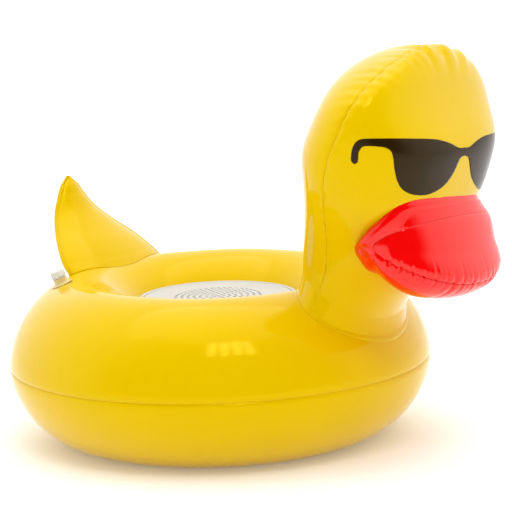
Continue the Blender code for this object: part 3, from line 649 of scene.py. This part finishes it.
def head_grid(side, rows=210, columns=150):
    """The front (side 1) or back panel of neck and head, from foot to crown."""
    angle = side * np.pi * spaced(columns, 0.5)
    flare, lip = neck_flare(angle)
    foot = neck_foot(angle, flare)
    rim = []
    for share in (1.0, 0.66, 0.33):
        grow = flare + lip * share
        rim.append(head_shape(angle, neck_foot(angle, grow) + 0.45 * (share < 1), grow))
    levels = np.linspace(0, 1, rows)
    levels = 0.35 * levels ** 1.6 + 0.65 * np.sin(0.5 * np.pi * levels)
    z = foot + 0.5 + (CROWN_Z - foot - 0.5) * levels[:, None]
    a = np.broadcast_to(angle, z.shape)
    grow = flare * np.clip(1 - (z - foot - 0.5) / CUFF, 0, 1)
    plain = head_shape(a, z, grow)
    lift = head_lift(plain) * smooth_step((z - foot) / 12)
    grid = plain + grid_normals(plain, HEAD_CORE) * lift[..., None]
    grid[-1] = (0, CROWN_Y, CROWN_Z - 0.7)
    return np.concatenate([np.stack(rim), grid])


def head():
    film_object("head_front_panel", head_grid(1), HEAD_CORE, YELLOW)
    film_object("head_back_panel", head_grid(-1), HEAD_CORE, YELLOW)


# ---- sunglasses print

# Half of the outline: distance round the face from the middle, and height
GLASSES_TOP = ((0, 121.8), (5.5, 122), (12, 124.2), (18, 125.8), (26, 127), (40, 127.6),
               (54, 127.8), (68, 127.3), (73.5, 126), (75.8, 122.8), (76, 118.5), (75.5, 115.8),
               (73.7, 114.4), (72, 115.4))
GLASSES_UNDER = ((72.2, 120.4), (70.6, 123), (67, 123.8), (59, 123.5), (55.3, 121.8),
                 (54.1, 118.5), (53.2, 112.5), (51, 106.2), (47.8, 102), (42.4, 99.5),
                 (36, 98.7), (29.5, 99.1), (20.8, 101.4), (13.6, 105.2), (8.8, 110),
                 (5.2, 115.6), (3, 117.2), (0, 117.8))
GLASSES_TILT = -0.09  # the print sits a little higher on the duck's right
PRINT_GRID = 1.6  # the print is cut this fine, to bend with the face
PRINT_PROUD = 0.16


def curve_through(points, steps=6):
    """Catmull-Rom curve through an open run of points."""
    p = np.array(points, float)
    p = np.concatenate([2 * p[:1] - p[1:2], p, 2 * p[-1:] - p[-2:-1]])
    out = []
    for a, b, c, d in zip(p, p[1:], p[2:], p[3:]):
        out += [catmull_rom(a, b, c, d, t) for t in np.arange(steps) / steps]
    out.append(p[-2])
    return np.array(out)


def glasses_outline():
    """The closed outline, without doubled points."""
    half = np.concatenate([curve_through(GLASSES_TOP), curve_through(GLASSES_UNDER)])
    mirror = half[::-1] * (-1, 1)
    loop = np.concatenate([half, mirror])
    keep = np.linalg.norm(loop - np.roll(loop, 1, axis=0), axis=1) > 0.05
    return loop[keep]


def face_angle_table():
    """Angles round the head, and the distance to each from mid-face."""
    angle = np.radians(np.linspace(-20, 200, 2201))
    length = run_length(head_shape(angle, np.full_like(angle, 120.0)))
    return angle, length - np.interp(np.pi / 2, angle, length)


def on_head(angle, z, proud):
    """Points on the finished head, a little proud of it."""
    point = head_shape(angle, z)
    turn = 0.02
    round_it = head_shape(angle + turn, z) - head_shape(angle - turn, z)
    up_it = head_shape(angle, z + 1) - head_shape(angle, z - 1)
    normal = np.cross(round_it, up_it)
    normal = normal / np.linalg.norm(normal, axis=-1, keepdims=True)
    normal = normal * np.sign(((point - HEAD_CORE) * normal).sum(-1, keepdims=True))
    return point + normal * (head_lift(point)[..., None] + proud)


def sunglasses():
    """A flat print, cut into a fine grid and then laid on the face."""
    bm = bmesh.new()
    flat = [Vector((x, y, 0)) for x, y in glasses_outline()]
    verts = [bm.verts.new(point) for point in flat]
    for tri in tessellate_polygon([flat]):
        bm.faces.new([verts[i] for i in tri])
    for axis, low, high in ((0, -78, 78), (1, 97, 130)):
        for level in np.arange(low, high, PRINT_GRID):
            point, normal = Vector((0, 0, 0)), Vector((0, 0, 0))
            point[axis], normal[axis] = level, 1
            geom = bm.verts[:] + bm.edges[:] + bm.faces[:]
            bmesh.ops.bisect_plane(bm, geom=geom, plane_co=point, plane_no=normal, dist=1e-4)
    bmesh.ops.remove_doubles(bm, verts=bm.verts, dist=0.02)
    angle, length = face_angle_table()
    spots = np.array([v.co[:2] for v in bm.verts])
    turn = np.interp(spots[:, 0], length, angle)
    points = placed(on_head(turn, spots[:, 1] + GLASSES_TILT * spots[:, 0], PRINT_PROUD))
    for v, p in zip(bm.verts, points):
        v.co = p
    bm.normal_update()
    if sum(f.normal.y * f.calc_area() for f in bm.faces) > 0:
        bmesh.ops.reverse_faces(bm, faces=bm.faces)
    obj = new_object("sunglasses_print", mesh_from("sunglasses_print", bm), PRINT, "duck_float")
    thicken(obj, INK)


# ---- beak

def smooth_curve(table, at):
    """Smooth curve through unevenly spaced stations."""
    knots, values = np.array(table, float).T
    last = len(knots) - 1
    here = np.arange(last + 1)
    before, after = np.maximum(here - 1, 0), np.minimum(here + 1, last)
    slope = (values[after] - values[before]) / (knots[after] - knots[before])
    i = np.clip(np.searchsorted(knots, at, side="right") - 1, 0, last - 1)
    h = knots[i + 1] - knots[i]
    t = (at - knots[i]) / h
    return ((2 * t ** 3 - 3 * t ** 2 + 1) * values[i] + (t ** 3 - 2 * t ** 2 + t) * h * slope[i]
            + (3 * t ** 2 - 2 * t ** 3) * values[i + 1] + (t ** 3 - t ** 2) * h * slope[i + 1])


def rolled(x, forward, upward):
    """From the beak's own directions to the duck's."""
    c, s = math.cos(BEAK_ROLL), math.sin(BEAK_ROLL)
    return np.stack([x * c + upward * s, BEAK_Y - forward, BEAK_Z - x * s + upward * c], -1)


def beak_shape(along, pitch):
    """The beak's skin without folds: along is 0 to pi, pole to pole, and pitch is in degrees."""
    reach, turn = smooth_curve(BEAK_STATIONS, pitch), np.radians(pitch)
    side = np.cos(along) ** 2
    swell = np.where(np.cos(turn) > 0, 1.04, 0.94)
    forward = reach * np.sin(along) ** swell * np.cos(turn) + 14 * side
    upward = reach * np.sin(along) ** 0.675 * np.sin(turn) + 2.8 * side
    x = -BEAK_HALF * np.cos(along)
    off = ((np.abs(x) - CHEEK_PLACE[0]) ** 2 + (forward - CHEEK_PLACE[1]) ** 2
           + (upward - CHEEK_PLACE[2]) ** 2)
    cheek = np.exp(-off / CHEEK_WIDTH ** 2)
    return rolled(x + np.sign(x) * CHEEK_SWELL[0] * cheek, forward + CHEEK_SWELL[1] * cheek,
                  upward + CHEEK_SWELL[2] * cheek)


def root_weld(across):
    """The band's weld on the face; across runs from 0 to 1."""
    table = np.array(ROOT_WELD, float)
    run = np.concatenate([table[::-1] * (-1, 1), table[1:]])
    angle = np.radians(90 + run[:, 0])
    height = run[:, 1] - ROOT_SLOPE * run[:, 0]
    length = run_length(head_shape(angle, height))
    rows = np.column_stack([length / length[-1], angle, height])
    return head_shape(*stations(rows, across))


def along_beak(across):
    """The place along the beak that faces a place across the root band."""
    near, far = across ** BAND_EASE, (1 - across) ** BAND_EASE
    return np.pi * near / (near + far)


def band_shape(across, rise):
    """The root band, from the beak's upper weld (rise 0) to the face (rise 1)."""
    weld = beak_shape(along_beak(across), np.full_like(across, BEAK_SEAM))
    point = weld + (root_weld(across) - weld) * rise[..., None]
    corner = 1 - smooth_step(np.minimum(across, 1 - across) / 0.4)
    outward = point - BEAK_CORE
    outward = outward / np.linalg.norm(outward, axis=-1, keepdims=True)
    bulge = (BAND_HOLLOW + BAND_BULGE * corner) * 4 * rise * (1 - rise)
    return point + outward * bulge[..., None]


def deep_in_head(points):
    """Which of the beak's points are hidden well inside the head."""
    z = points[..., 2]
    seam, half, front, back = head_section(z)
    ahead = seam - points[..., 1]
    flat = np.where(ahead > 0, face_power(z), 2.0)
    depth = np.where(ahead > 0, front, back)
    return (np.abs(points[..., 0] / (half - HIDDEN_DEPTH)) ** flat
            + np.abs(ahead / (depth - HIDDEN_DEPTH)) ** flat) < 1


def beak_folds():
    """Folds across the rim: place, depth, half width, and length over and under it."""
    rng = random.Random(5)
    folds = []
    place = 12.0
    while place < 168:
        ends = 1 + 0.8 * abs(place - 90) / 90
        folds.append((place, rng.uniform(0.2, 0.55) * ends, rng.uniform(1.0, 1.8),
                      rng.uniform(3.0, 6.5), rng.uniform(3.0, 7.5)))
        place += rng.uniform(6.0, 10.5)
    return folds


BEAK_GATHERS = beak_folds()


def beak_lift(along, pitch):
    """Weld creases, the gathers across the rim and the pinch at each corner."""
    deg = np.degrees(along)
    above = (pitch - BEAK_RIM) * 0.8  # about a millimetre for each 1.25 degrees
    upper = np.abs(pitch - BEAK_SEAM) * 0.7 * np.sin(along)
    lift = -0.6 * crease(np.abs(above) * np.sin(along), 0.9) - 0.22 * crease(upper, 0.6)
    for place, deep, wide, over, under in BEAK_GATHERS:
        reach = np.where(above > 0, over, under)
        lift = lift + (deep * fold((deg - place) / wide, 0.5, 1.8, 0.9)
                       * np.exp(-(np.abs(above) / reach) ** 1.5))
    corner = np.minimum(deg, 180 - deg)
    pinch = sum(d * np.exp(-((pitch - p) / w) ** 2)
                for p, d, w in ((-12, 0.35, 12), (-52, 0.25, 14), (-90, 0.2, 16)))
    lift = lift - pinch * np.exp(-((corner - 8) / 5) ** 2)
    return lift * smooth_step(corner / 4)


def beak_grid(low, high, rows, columns=240):
    """A panel of the beak between two pitches."""
    along = np.radians(POLE_GAP + (180 - 2 * POLE_GAP) * spaced(columns, 0.4))
    pitch, a = np.meshgrid(low + (high - low) * spaced(rows, 0.6), along, indexing="ij")
    plain = beak_shape(a, pitch)
    return plain + grid_normals(plain, BEAK_CORE) * beak_lift(a, pitch)[..., None]


def band_grid(rows=44, columns=320):
    """The band runs a little into the head and closes on the lower panel."""
    across = np.linspace(0, 1, columns)
    rise, u = np.meshgrid(np.linspace(0, 1, rows), across, indexing="ij")
    plain = band_shape(u, rise)
    for end in (0, 1):
        off = np.radians(POLE_GAP + (BAND_END - POLE_GAP) * rise)
        edge = beak_shape(np.abs(end * np.pi - off), 0 * rise - 180)
        pull = np.maximum(0, 1 - np.abs(u - end) / 0.05) ** 2
        plain = plain + pull[..., None] * (edge - band_shape(0 * u + end, rise))
    ripple = waves(np.random.default_rng(9), 0.3, [n * u for n in (41, 67, 95)])
    streak = np.exp(-((rise - 0.72) / 0.07) ** 2) - 0.8 * np.exp(-((rise - 0.86) / 0.06) ** 2)
    middle = smooth_step((np.minimum(u, 1 - u) - 0.22) / 0.15)
    upper = beak_lift(along_beak(u), 0 * u + BEAK_SEAM)
    lift = (upper * crease(rise, 0.07) + 0.22 * streak * middle
            + 0.10 * ripple * np.exp(-(1 - rise) / 0.12)) * smooth_step(np.minimum(u, 1 - u) / 0.03)
    grid = plain + grid_normals(plain, BEAK_CORE) * lift[..., None]
    inward = HEAD_CORE - grid[-1]
    tuck = grid[-1] + 2.2 * inward / np.linalg.norm(inward, axis=-1, keepdims=True)
    return np.concatenate([grid, tuck[None]])


def beak():
    for node, grid in (("beak_root_band", band_grid()),
                       ("beak_upper_panel", beak_grid(BEAK_RIM, BEAK_SEAM, 60)),
                       ("beak_lower_panel", beak_grid(-180, BEAK_RIM, 110))):
        film_object(node, grid, BEAK_CORE, RED, deep_in_head)


# ---- tail

def tail_shape(side, angle, z, flange):
    """A tail panel's skin; angle runs from weld to weld, and flange marks the outer edges."""
    back, half, depth = stations(TAIL_STATIONS, z)
    inner = np.maximum(half - TAIL_FLANGE, 0.3 * half)
    c, s = np.cos(angle), np.sin(angle)
    x = -np.where(flange > 0, half * np.sign(c), inner * c)
    belly = depth * np.abs(s) ** 1.15 * np.sign(s)
    return np.stack([x, back - belly - TAIL_SHIFT * side, z + 0 * angle], -1)


def tail_grid(side, rows=110, columns=70):
    """The front (side 1) or back panel of the tail, rippled beside its welds and turned."""
    angle = side * np.pi * spaced(columns, 0.4)
    angle = np.concatenate([[angle[0], angle[0]], angle, [angle[-1], angle[-1]]])
    flange = np.zeros_like(angle)
    flange[0] = flange[-1] = 1
    start = foot_height(lambda z: tail_shape(side, angle, z, flange), angle, 40.0)
    z = start + (TAIL_STATIONS[-1, 0] - start) * np.linspace(0, 1, rows)[:, None]
    a, flange = np.broadcast_to(angle, z.shape), np.broadcast_to(flange, z.shape)
    grid = tail_shape(side, a, z, flange)
    rng = random.Random(3)
    near = np.abs(np.cos(a)) ** 8 * (1 - flange)
    ripple = sum(rng.uniform(0.1, 0.22) * np.sin(z / rng.uniform(0.9, 1.6) + rng.uniform(0, 6))
                 for _ in range(3))
    grid[..., 1] -= side * ripple * near * np.abs(np.sin(a)) ** 0.5
    c, s = math.cos(TAIL_TURN), math.sin(TAIL_TURN)
    x, y = grid[..., 0] * c - grid[..., 1] * s, grid[..., 0] * s + grid[..., 1] * c
    return np.stack([x, y, grid[..., 2]], -1)


def tail():
    film_object("tail_front_panel", tail_grid(1), TAIL_CORE, YELLOW)
    film_object("tail_back_panel", tail_grid(-1), TAIL_CORE, YELLOW)


# ---- valve

def on_valve(obj):
    """Turn a piece made round the vertical onto the valve's leaning axis."""
    outward = math.atan2(VALVE[1], VALVE[0])
    lean = math.acos(VALVE_AXIS[2])
    turn = Matrix.Rotation(outward, 4, "Z") @ Matrix.Rotation(lean, 4, "Y")
    seat = Matrix.Translation(placed(VALVE))
    home = Matrix.Translation(placed((0, 0, 0)))
    obj.data.transform(seat @ turn @ home.inverted())
    obj.data.update()


def knurl(obj, ribs, depth, inner, low, high):
    """Ribs round a turned piece, outside a radius and between two heights."""
    for v in obj.data.vertices:
        x, y, z = np.array(v.co) - ORIGIN
        if math.hypot(x, y) / MM > inner and low < z / MM < high:
            share = 1 - depth * (0.5 + 0.5 * math.cos(ribs * math.atan2(y, x)))
            v.co = Vector((ORIGIN[0] + x * share, ORIGIN[1] + y * share, v.co.z))


def valve():
    stem = turned("valve_stem_skin", "valve_stem", [
        (2.4, -6), (3.6, -6), (3.6, 0.3), (5.9, -0.1), (5.9, 0.3), (4.0, 0.8), (3.65, 1.6),
        (3.75, 3.2), (3.75, 3.6), (2.4, 3.6)], CLEAR_FOOT, 64, 0.25, "duck_float")
    on_valve(stem)
    cap = turned("valve_cap_skin", "valve_cap", [
        (0, 1.0), (1.9, 1.0), (2.15, 1.6), (2.15, 3.9), (3.9, 3.9), (4.0, 4.5), (3.9, 7.0),
        (3.3, 7.7), (2.3, 7.5), (0, 7.5)], CLEAR, 72, 0.35, "valve_stopper")
    knurl(cap, ribs=18, depth=0.05, inner=3.7, low=4.2, high=7.2)
    on_valve(cap)


# ---- loudspeaker

def grille_holes():
    """Places of the holes: one in the middle, and rings of six, twelve and so on."""
    yield 0.0, 0.0
    for n in range(1, HOLE_RINGS + 1):
        for k in range(6 * n):
            angle = math.tau * k / (6 * n)
            yield HOLE_PITCH * n * math.cos(angle), HOLE_PITCH * n * math.sin(angle)


def grille():
    """A disc with round holes and a shallow groove near its edge."""
    low, top, rim = DRUM_TOP - 1.6, DRUM_TOP, DRUM_BORE
    disc = turned("grille_disc", "grille_cover", [
        (0, low), (rim, low), (rim, top - 0.35), (rim - 0.4, top), (rim - 3.6, top),
        (rim - 4.0, top - 0.3), (rim - 4.4, top - 0.3), (rim - 4.8, top), (0, top)],
        PLASTIC, 128, 0.15)
    bm = bmesh.new()
    for x, y in grille_holes():
        bmesh.ops.create_cone(bm, cap_ends=True, segments=18, radius1=HOLE_R * MM,
                              radius2=HOLE_R * MM, depth=4 * MM,
                              matrix=Matrix.Translation(placed((x, y, top - 0.8))))
    apply_booleans(disc, "DIFFERENCE", [tool_object(bm)])


def post_places():
    for n in range(4):
        angle = math.radians(45 + 90 * n)
        yield POST_PLACE_R * math.cos(angle), POST_PLACE_R * math.sin(angle)


def upper_housing():
    """The driver's deck and the case's wall, with four hollow posts for the case screws."""
    wall, bore = DRUM_R, DRUM_BORE
    upper = turned("upper_housing_skin", "upper_housing", [
        (18, 23.5), (bore, 23.5), (bore, 6.2), (wall - 0.4, 6.2), (wall, 6.6), (wall, 29.2),
        (bore, 29.2), (bore, 31.9), (38.5, 31.9), (38.5, 25.5), (18, 25.5)],
        PLASTIC, 144)
    apply_booleans(upper, "UNION", [cylinder_tool(3.2, FLOOR_TOP + 0.3, 24.5, x, y)
                                    for x, y in post_places()])
    apply_booleans(upper, "DIFFERENCE", [cylinder_tool(1.4, -21.5, -10.5, x, y, 20)
                                         for x, y in post_places()])


def lower_housing():
    """The case's floor, with the board's posts, screw holes, button holes and the port."""
    wall, bore, low, top = DRUM_R, DRUM_BORE, DRUM_BOTTOM, FLOOR_TOP
    lower = turned("lower_housing_skin", "lower_housing", [
        (0, low), (30, low), (30.6, low + 0.4), (31.4, low + 0.4), (32, low), (wall - 2, low),
        (wall, low + 2), (wall, 3.8), (wall - 0.4, 4.2), (bore, 4.2), (bore, top + 1.5),
        (bore - 1.5, top), (0, top)], PLASTIC, 144)
    sides = (-BOARD_POST_X, BOARD_POST_X)
    apply_booleans(lower, "UNION", [cylinder_tool(2.2, top - 1, -14.6, x, 0) for x in sides])
    tools = [cylinder_tool(0.9, -18.9, -13.3, x, 0, 16) for x in sides]
    for x, y in post_places():
        tools.append(cylinder_tool(1.7, low - 2, top + 2, x, y, 24))
        tools.append(cylinder_tool(3.1, low - 2, low + 1.3, x, y))
    tools += [cylinder_tool(3.5, low - 2, top + 2, x, y, 40) for x, y in BUTTON_PLACES.values()]
    port = bmesh.new()
    size = Matrix.Diagonal((11 * MM, 7 * MM, 6.5 * MM, 1))
    bmesh.ops.create_cube(port, size=1,
                          matrix=Matrix.Translation(placed((0, PORT_Y, low + 1.3))) @ size)
    tools.append(tool_object(port))
    apply_booleans(lower, "DIFFERENCE", tools)


def case():
    grille()
    rim = DRUM_BORE + 0.3
    turned("bezel_skin", "bezel_ring", [
        (rim, 29.5), (DRUM_R, 29.5), (DRUM_R, 33.5), (DRUM_R - 0.5, 34.1), (rim + 0.5, 34.1),
        (rim, 33.6)], PLASTIC, 144, 0.35)
    upper_housing()
    turned("gasket_skin", "housing_gasket", [(rim, 4.5), (43.35, 4.5), (43.35, 5.9), (rim, 5.9)],
           BLACK_RUBBER, 128)
    lower_housing()


def raised_bars(bm, bars, x, y, z):
    """Thin raised bars on a button's face: centre, size and turn of each, in mm."""
    for cx, cy, length, width, turn in bars:
        place = (Matrix.Translation(placed((x + cx, y + cy, z))) @ Matrix.Rotation(turn, 4, "Z")
                 @ Matrix.Diagonal((length * MM, width * MM, 0.3 * MM, 1)))
        bmesh.ops.create_cube(bm, size=1, matrix=place)


# Bars of each button's mark; the power button's are an open ring of short ones and one upright
BUTTON_MARKS = {
    "button_power": [(1.25 * math.cos(a), 1.25 * math.sin(a), 0.5, 0.4, a + math.pi / 2)
                     for a in np.radians(np.arange(125, 416, 20))] + [(0, 0.9, 0.4, 1.3, 0)],
    "button_volume_down": [(0, 0, 2.8, 0.55, 0)],
    "button_volume_up": [(0, 0, 2.8, 0.55, 0), (0, 0, 0.55, 2.8, 0)],
    "button_play": [(-1.0, 0, 0.45, 2.6, 0), (0.25, 0.62, 2.6, 0.45, -0.46),
                    (0.25, -0.62, 2.6, 0.45, 0.46)],
}
BUTTON_BODIES = {"button_power": "power_key", "button_volume_down": "volume_down_key",
                 "button_volume_up": "volume_up_key", "button_play": "play_key"}


def buttons():
    """Rubber buttons under the case, each with a raised mark."""
    for name, (x, y) in BUTTON_PLACES.items():
        profile = rounded([(0, -22.45), (2.3, -22.55), (3.2, -22.1), (3.2, -19.2), (4.3, -19.2),
                           (4.3, -18.3), (0, -18.3)], 0.35)
        bm = turned_bmesh(profile, 48, (x, y))
        raised_bars(bm, BUTTON_MARKS[name], x, y, -22.5)
        new_object(name + "_skin", mesh_from(name, bm), RUBBER, BUTTON_BODIES[name],
                   (name,))


def rounded_box_bmesh(low, high, radius):
    """A box between two corners in mm, with rounded edges."""
    low, high = np.array(low, float), np.array(high, float)
    bm = bmesh.new()
    place = (Matrix.Translation(placed((low + high) / 2))
             @ Matrix.Diagonal((*((high - low) * MM), 1)))
    bmesh.ops.create_cube(bm, size=1, matrix=place)
    bmesh.ops.bevel(bm, geom=bm.edges[:], offset=radius * MM, segments=3, affect="EDGES",
                    profile=0.5)
    return bm


def port_flap():
    """The flap, with the plug that fills the port and a grip to open it by."""
    leaf = rounded_box_bmesh((-7.5, PORT_Y - 6, -23.5), (7.5, PORT_Y + 7, -22.3), 0.5)
    flap = new_object("port_flap_skin", mesh_from("port_flap_skin", leaf), RUBBER, "port_cover",
                      ("port_flap",))
    plug = tool_object(rounded_box_bmesh((-5, PORT_Y - 3, -22.9), (5, PORT_Y + 3, -20.7), 0.5))
    grip = tool_object(rounded_box_bmesh((-3, PORT_Y - 5.4, -23.8), (3, PORT_Y - 4.4, -23.2), 0.25))
    apply_booleans(flap, "UNION", [plug, grip])


NODE_FINISHES = (
    (BLACK_RUBBER, ("driver_gasket", "surround")),
    (STEEL, ("driver_basket", "top_plate", "yoke", "charging_socket", "board_screw_1",
             "board_screw_2", "case_screw_1", "case_screw_2", "case_screw_3", "case_screw_4")),
    (FERRITE, ("magnet",)),
    (FABRIC, ("spider",)),
    (MESH_CLOTH, ("acoustic_mesh",)),
    (PAPER, ("speaker_cone", "dust_cap")),
    (COPPER, ("voice_coil",)),
    (BOARD, ("circuit_board",)),
    (TRIM, ("battery_tray", "switch_power", "switch_volume_down", "switch_volume_up",
            "switch_play")),
    (WRAP, ("battery_cell",)),
    (JACKET, ("driver_lead", "battery_lead")),
    (CLEAR, ("valve_flap",)),
)


def frame_finishes():
    """Materials for the CAD nodes that are shown as they are."""
    for mat, names in NODE_FINISHES:
        for name in names:
            mesh = frame["nodes"][name].data
            mesh.materials.clear()
            mesh.materials.append(mat)


# ---- camera, light, floor

CAMERA = (-1120.9, -784.9, 295.9)
AIM = (12.4, -17.7, 54.9)
CAMERA_ROLL = math.radians(-2.233)
LENS = 179.5

LIT_POINT = (0, -20, 40)  # the lights look at this
TOP_LIGHT_UP, TOP_LIGHT_SIZE, TOP_LIGHT_RADIANCE = 1.6, 1.8, 1.1
# Four upright strips side by side, beside and above the camera's line; metres
STRIPS, STRIP_AHEAD, STRIP_UP, STRIP_SIDE, STRIP_STEP = 4, 0.95, 1.30, 0.14, 0.15
STRIP_WIDTH, STRIP_HEIGHT, STRIP_RADIANCE = 0.10, 0.42, 7.5
FLOOR_R, FLOOR_DROP = 12.0, 0.1  # the floor lies just under the float's flat foot


def camera():
    """Place the camera, and return the way it looks."""
    data = bpy.data.cameras.new("camera")
    data.lens, data.sensor_width = LENS, 36
    data.clip_start, data.clip_end = 0.05, 50
    obj = linked("camera", data)
    place, aim = Vector(placed(CAMERA)), Vector(placed(AIM))
    ahead = (aim - place).normalized()
    right = ahead.cross(Vector((0, 0, 1))).normalized()
    up = right.cross(ahead)
    c, s = math.cos(CAMERA_ROLL), math.sin(CAMERA_ROLL)
    x, y = right * c + up * s, up * c - right * s
    turn = Matrix((x, y, -ahead)).transposed().to_4x4()
    obj.matrix_world = Matrix.Translation(place) @ turn
    bpy.context.scene.camera = obj
    return ahead


def area_light(name, place, aim, width, height, radiance):
    data = bpy.data.lights.new(name, "AREA")
    data.shape = "RECTANGLE"
    data.size, data.size_y = width, height
    data.energy = radiance * width * height * math.pi
    obj = linked(name, data)
    turn = (aim - place).to_track_quat("-Z", "Y")
    obj.matrix_world = Matrix.Translation(place) @ turn.to_matrix().to_4x4()


def world(ahead):
    """White all round, but dim where the camera stands, most of all in reflections."""
    sky = bpy.data.worlds.new("studio")
    bpy.context.scene.world = sky
    sky.use_nodes = True
    background = sky.node_tree.nodes["Background"]
    place = add_node(sky, "ShaderNodeTexCoord")
    dot = add_node(sky, "ShaderNodeVectorMath", operation="DOT_PRODUCT")
    dot.inputs[1].default_value = Vector((-ahead.x, -ahead.y, 0.12)).normalized()
    link(sky, place.outputs["Generated"], dot.inputs[0])

    def dimmed(start, end, bright, dim):
        """From bright to dim as a ray turns towards the camera, between two cosines."""
        ramp = add_node(sky, "ShaderNodeMapRange", interpolation_type="SMOOTHSTEP")
        for socket, value in zip(ramp.inputs[1:5], (start, end, bright, dim)):
            socket.default_value = value
        link(sky, dot.outputs["Value"], ramp.inputs["Value"])
        return ramp.outputs["Result"]

    def choose(flag, no):
        """1, or what input 3 is linked to, for the marked rays, and no for the rest."""
        mix = add_node(sky, "ShaderNodeMix", data_type="FLOAT")
        mix.inputs[3].default_value = 1.0
        link(sky, path.outputs[flag], mix.inputs[0])
        link(sky, no, mix.inputs[2])
        return mix

    path = add_node(sky, "ShaderNodeLightPath")
    indirect = choose("Is Glossy Ray", dimmed(-0.1, 1.0, 1.12, 0.60))
    link(sky, dimmed(0.12, 0.66, 1.25, 0.0), indirect.inputs[3])
    strength = choose("Is Camera Ray", indirect.outputs[0])
    link(sky, strength.outputs[0], background.inputs["Strength"])
    background.inputs["Color"].default_value = (1, 1, 1, 1)


def lights(ahead):
    """A large soft light above, and four strips near the camera for the film's glints."""
    centre = Vector(placed(LIT_POINT))
    side = Vector((ahead.y, -ahead.x, 0)).normalized()
    towards = Vector((-ahead.x, -ahead.y, 0)).normalized()
    area_light("top_light", centre + Vector((0, 0, TOP_LIGHT_UP)), centre, TOP_LIGHT_SIZE,
               TOP_LIGHT_SIZE, TOP_LIGHT_RADIANCE)
    for n in range(STRIPS):
        across = STRIP_SIDE + STRIP_STEP * (n - (STRIPS - 1) / 2)
        place = centre + towards * STRIP_AHEAD + side * across + Vector((0, 0, STRIP_UP))
        area_light(f"strip_light_{n + 1}", place, centre, STRIP_WIDTH, STRIP_HEIGHT,
                   STRIP_RADIANCE)


def studio_floor():
    bm = bmesh.new()
    bmesh.ops.create_circle(bm, cap_ends=True, segments=64, radius=FLOOR_R)
    bmesh.ops.translate(bm, verts=bm.verts, vec=(0, 0, -FLOOR_DROP * MM))
    mesh = mesh_from("floor", bm)
    mesh.materials.append(finish("floor_paint", (0.92, 0.92, 0.92), 0.6, vary=0.004, grain=40,
                                 bump=0.02, spread=6, Emission_Color=(1, 1, 1, 1),
                                 Emission_Strength=0.16))
    linked("floor", mesh)


def studio():
    ahead = camera()
    world(ahead)
    lights(ahead)
    studio_floor()
    bpy.context.scene.view_settings.view_transform = "Standard"


ring()
head()
sunglasses()
beak()
tail()
valve()
case()
buttons()
port_flap()
frame_finishes()
studio()

bpy.context.view_layer.update()
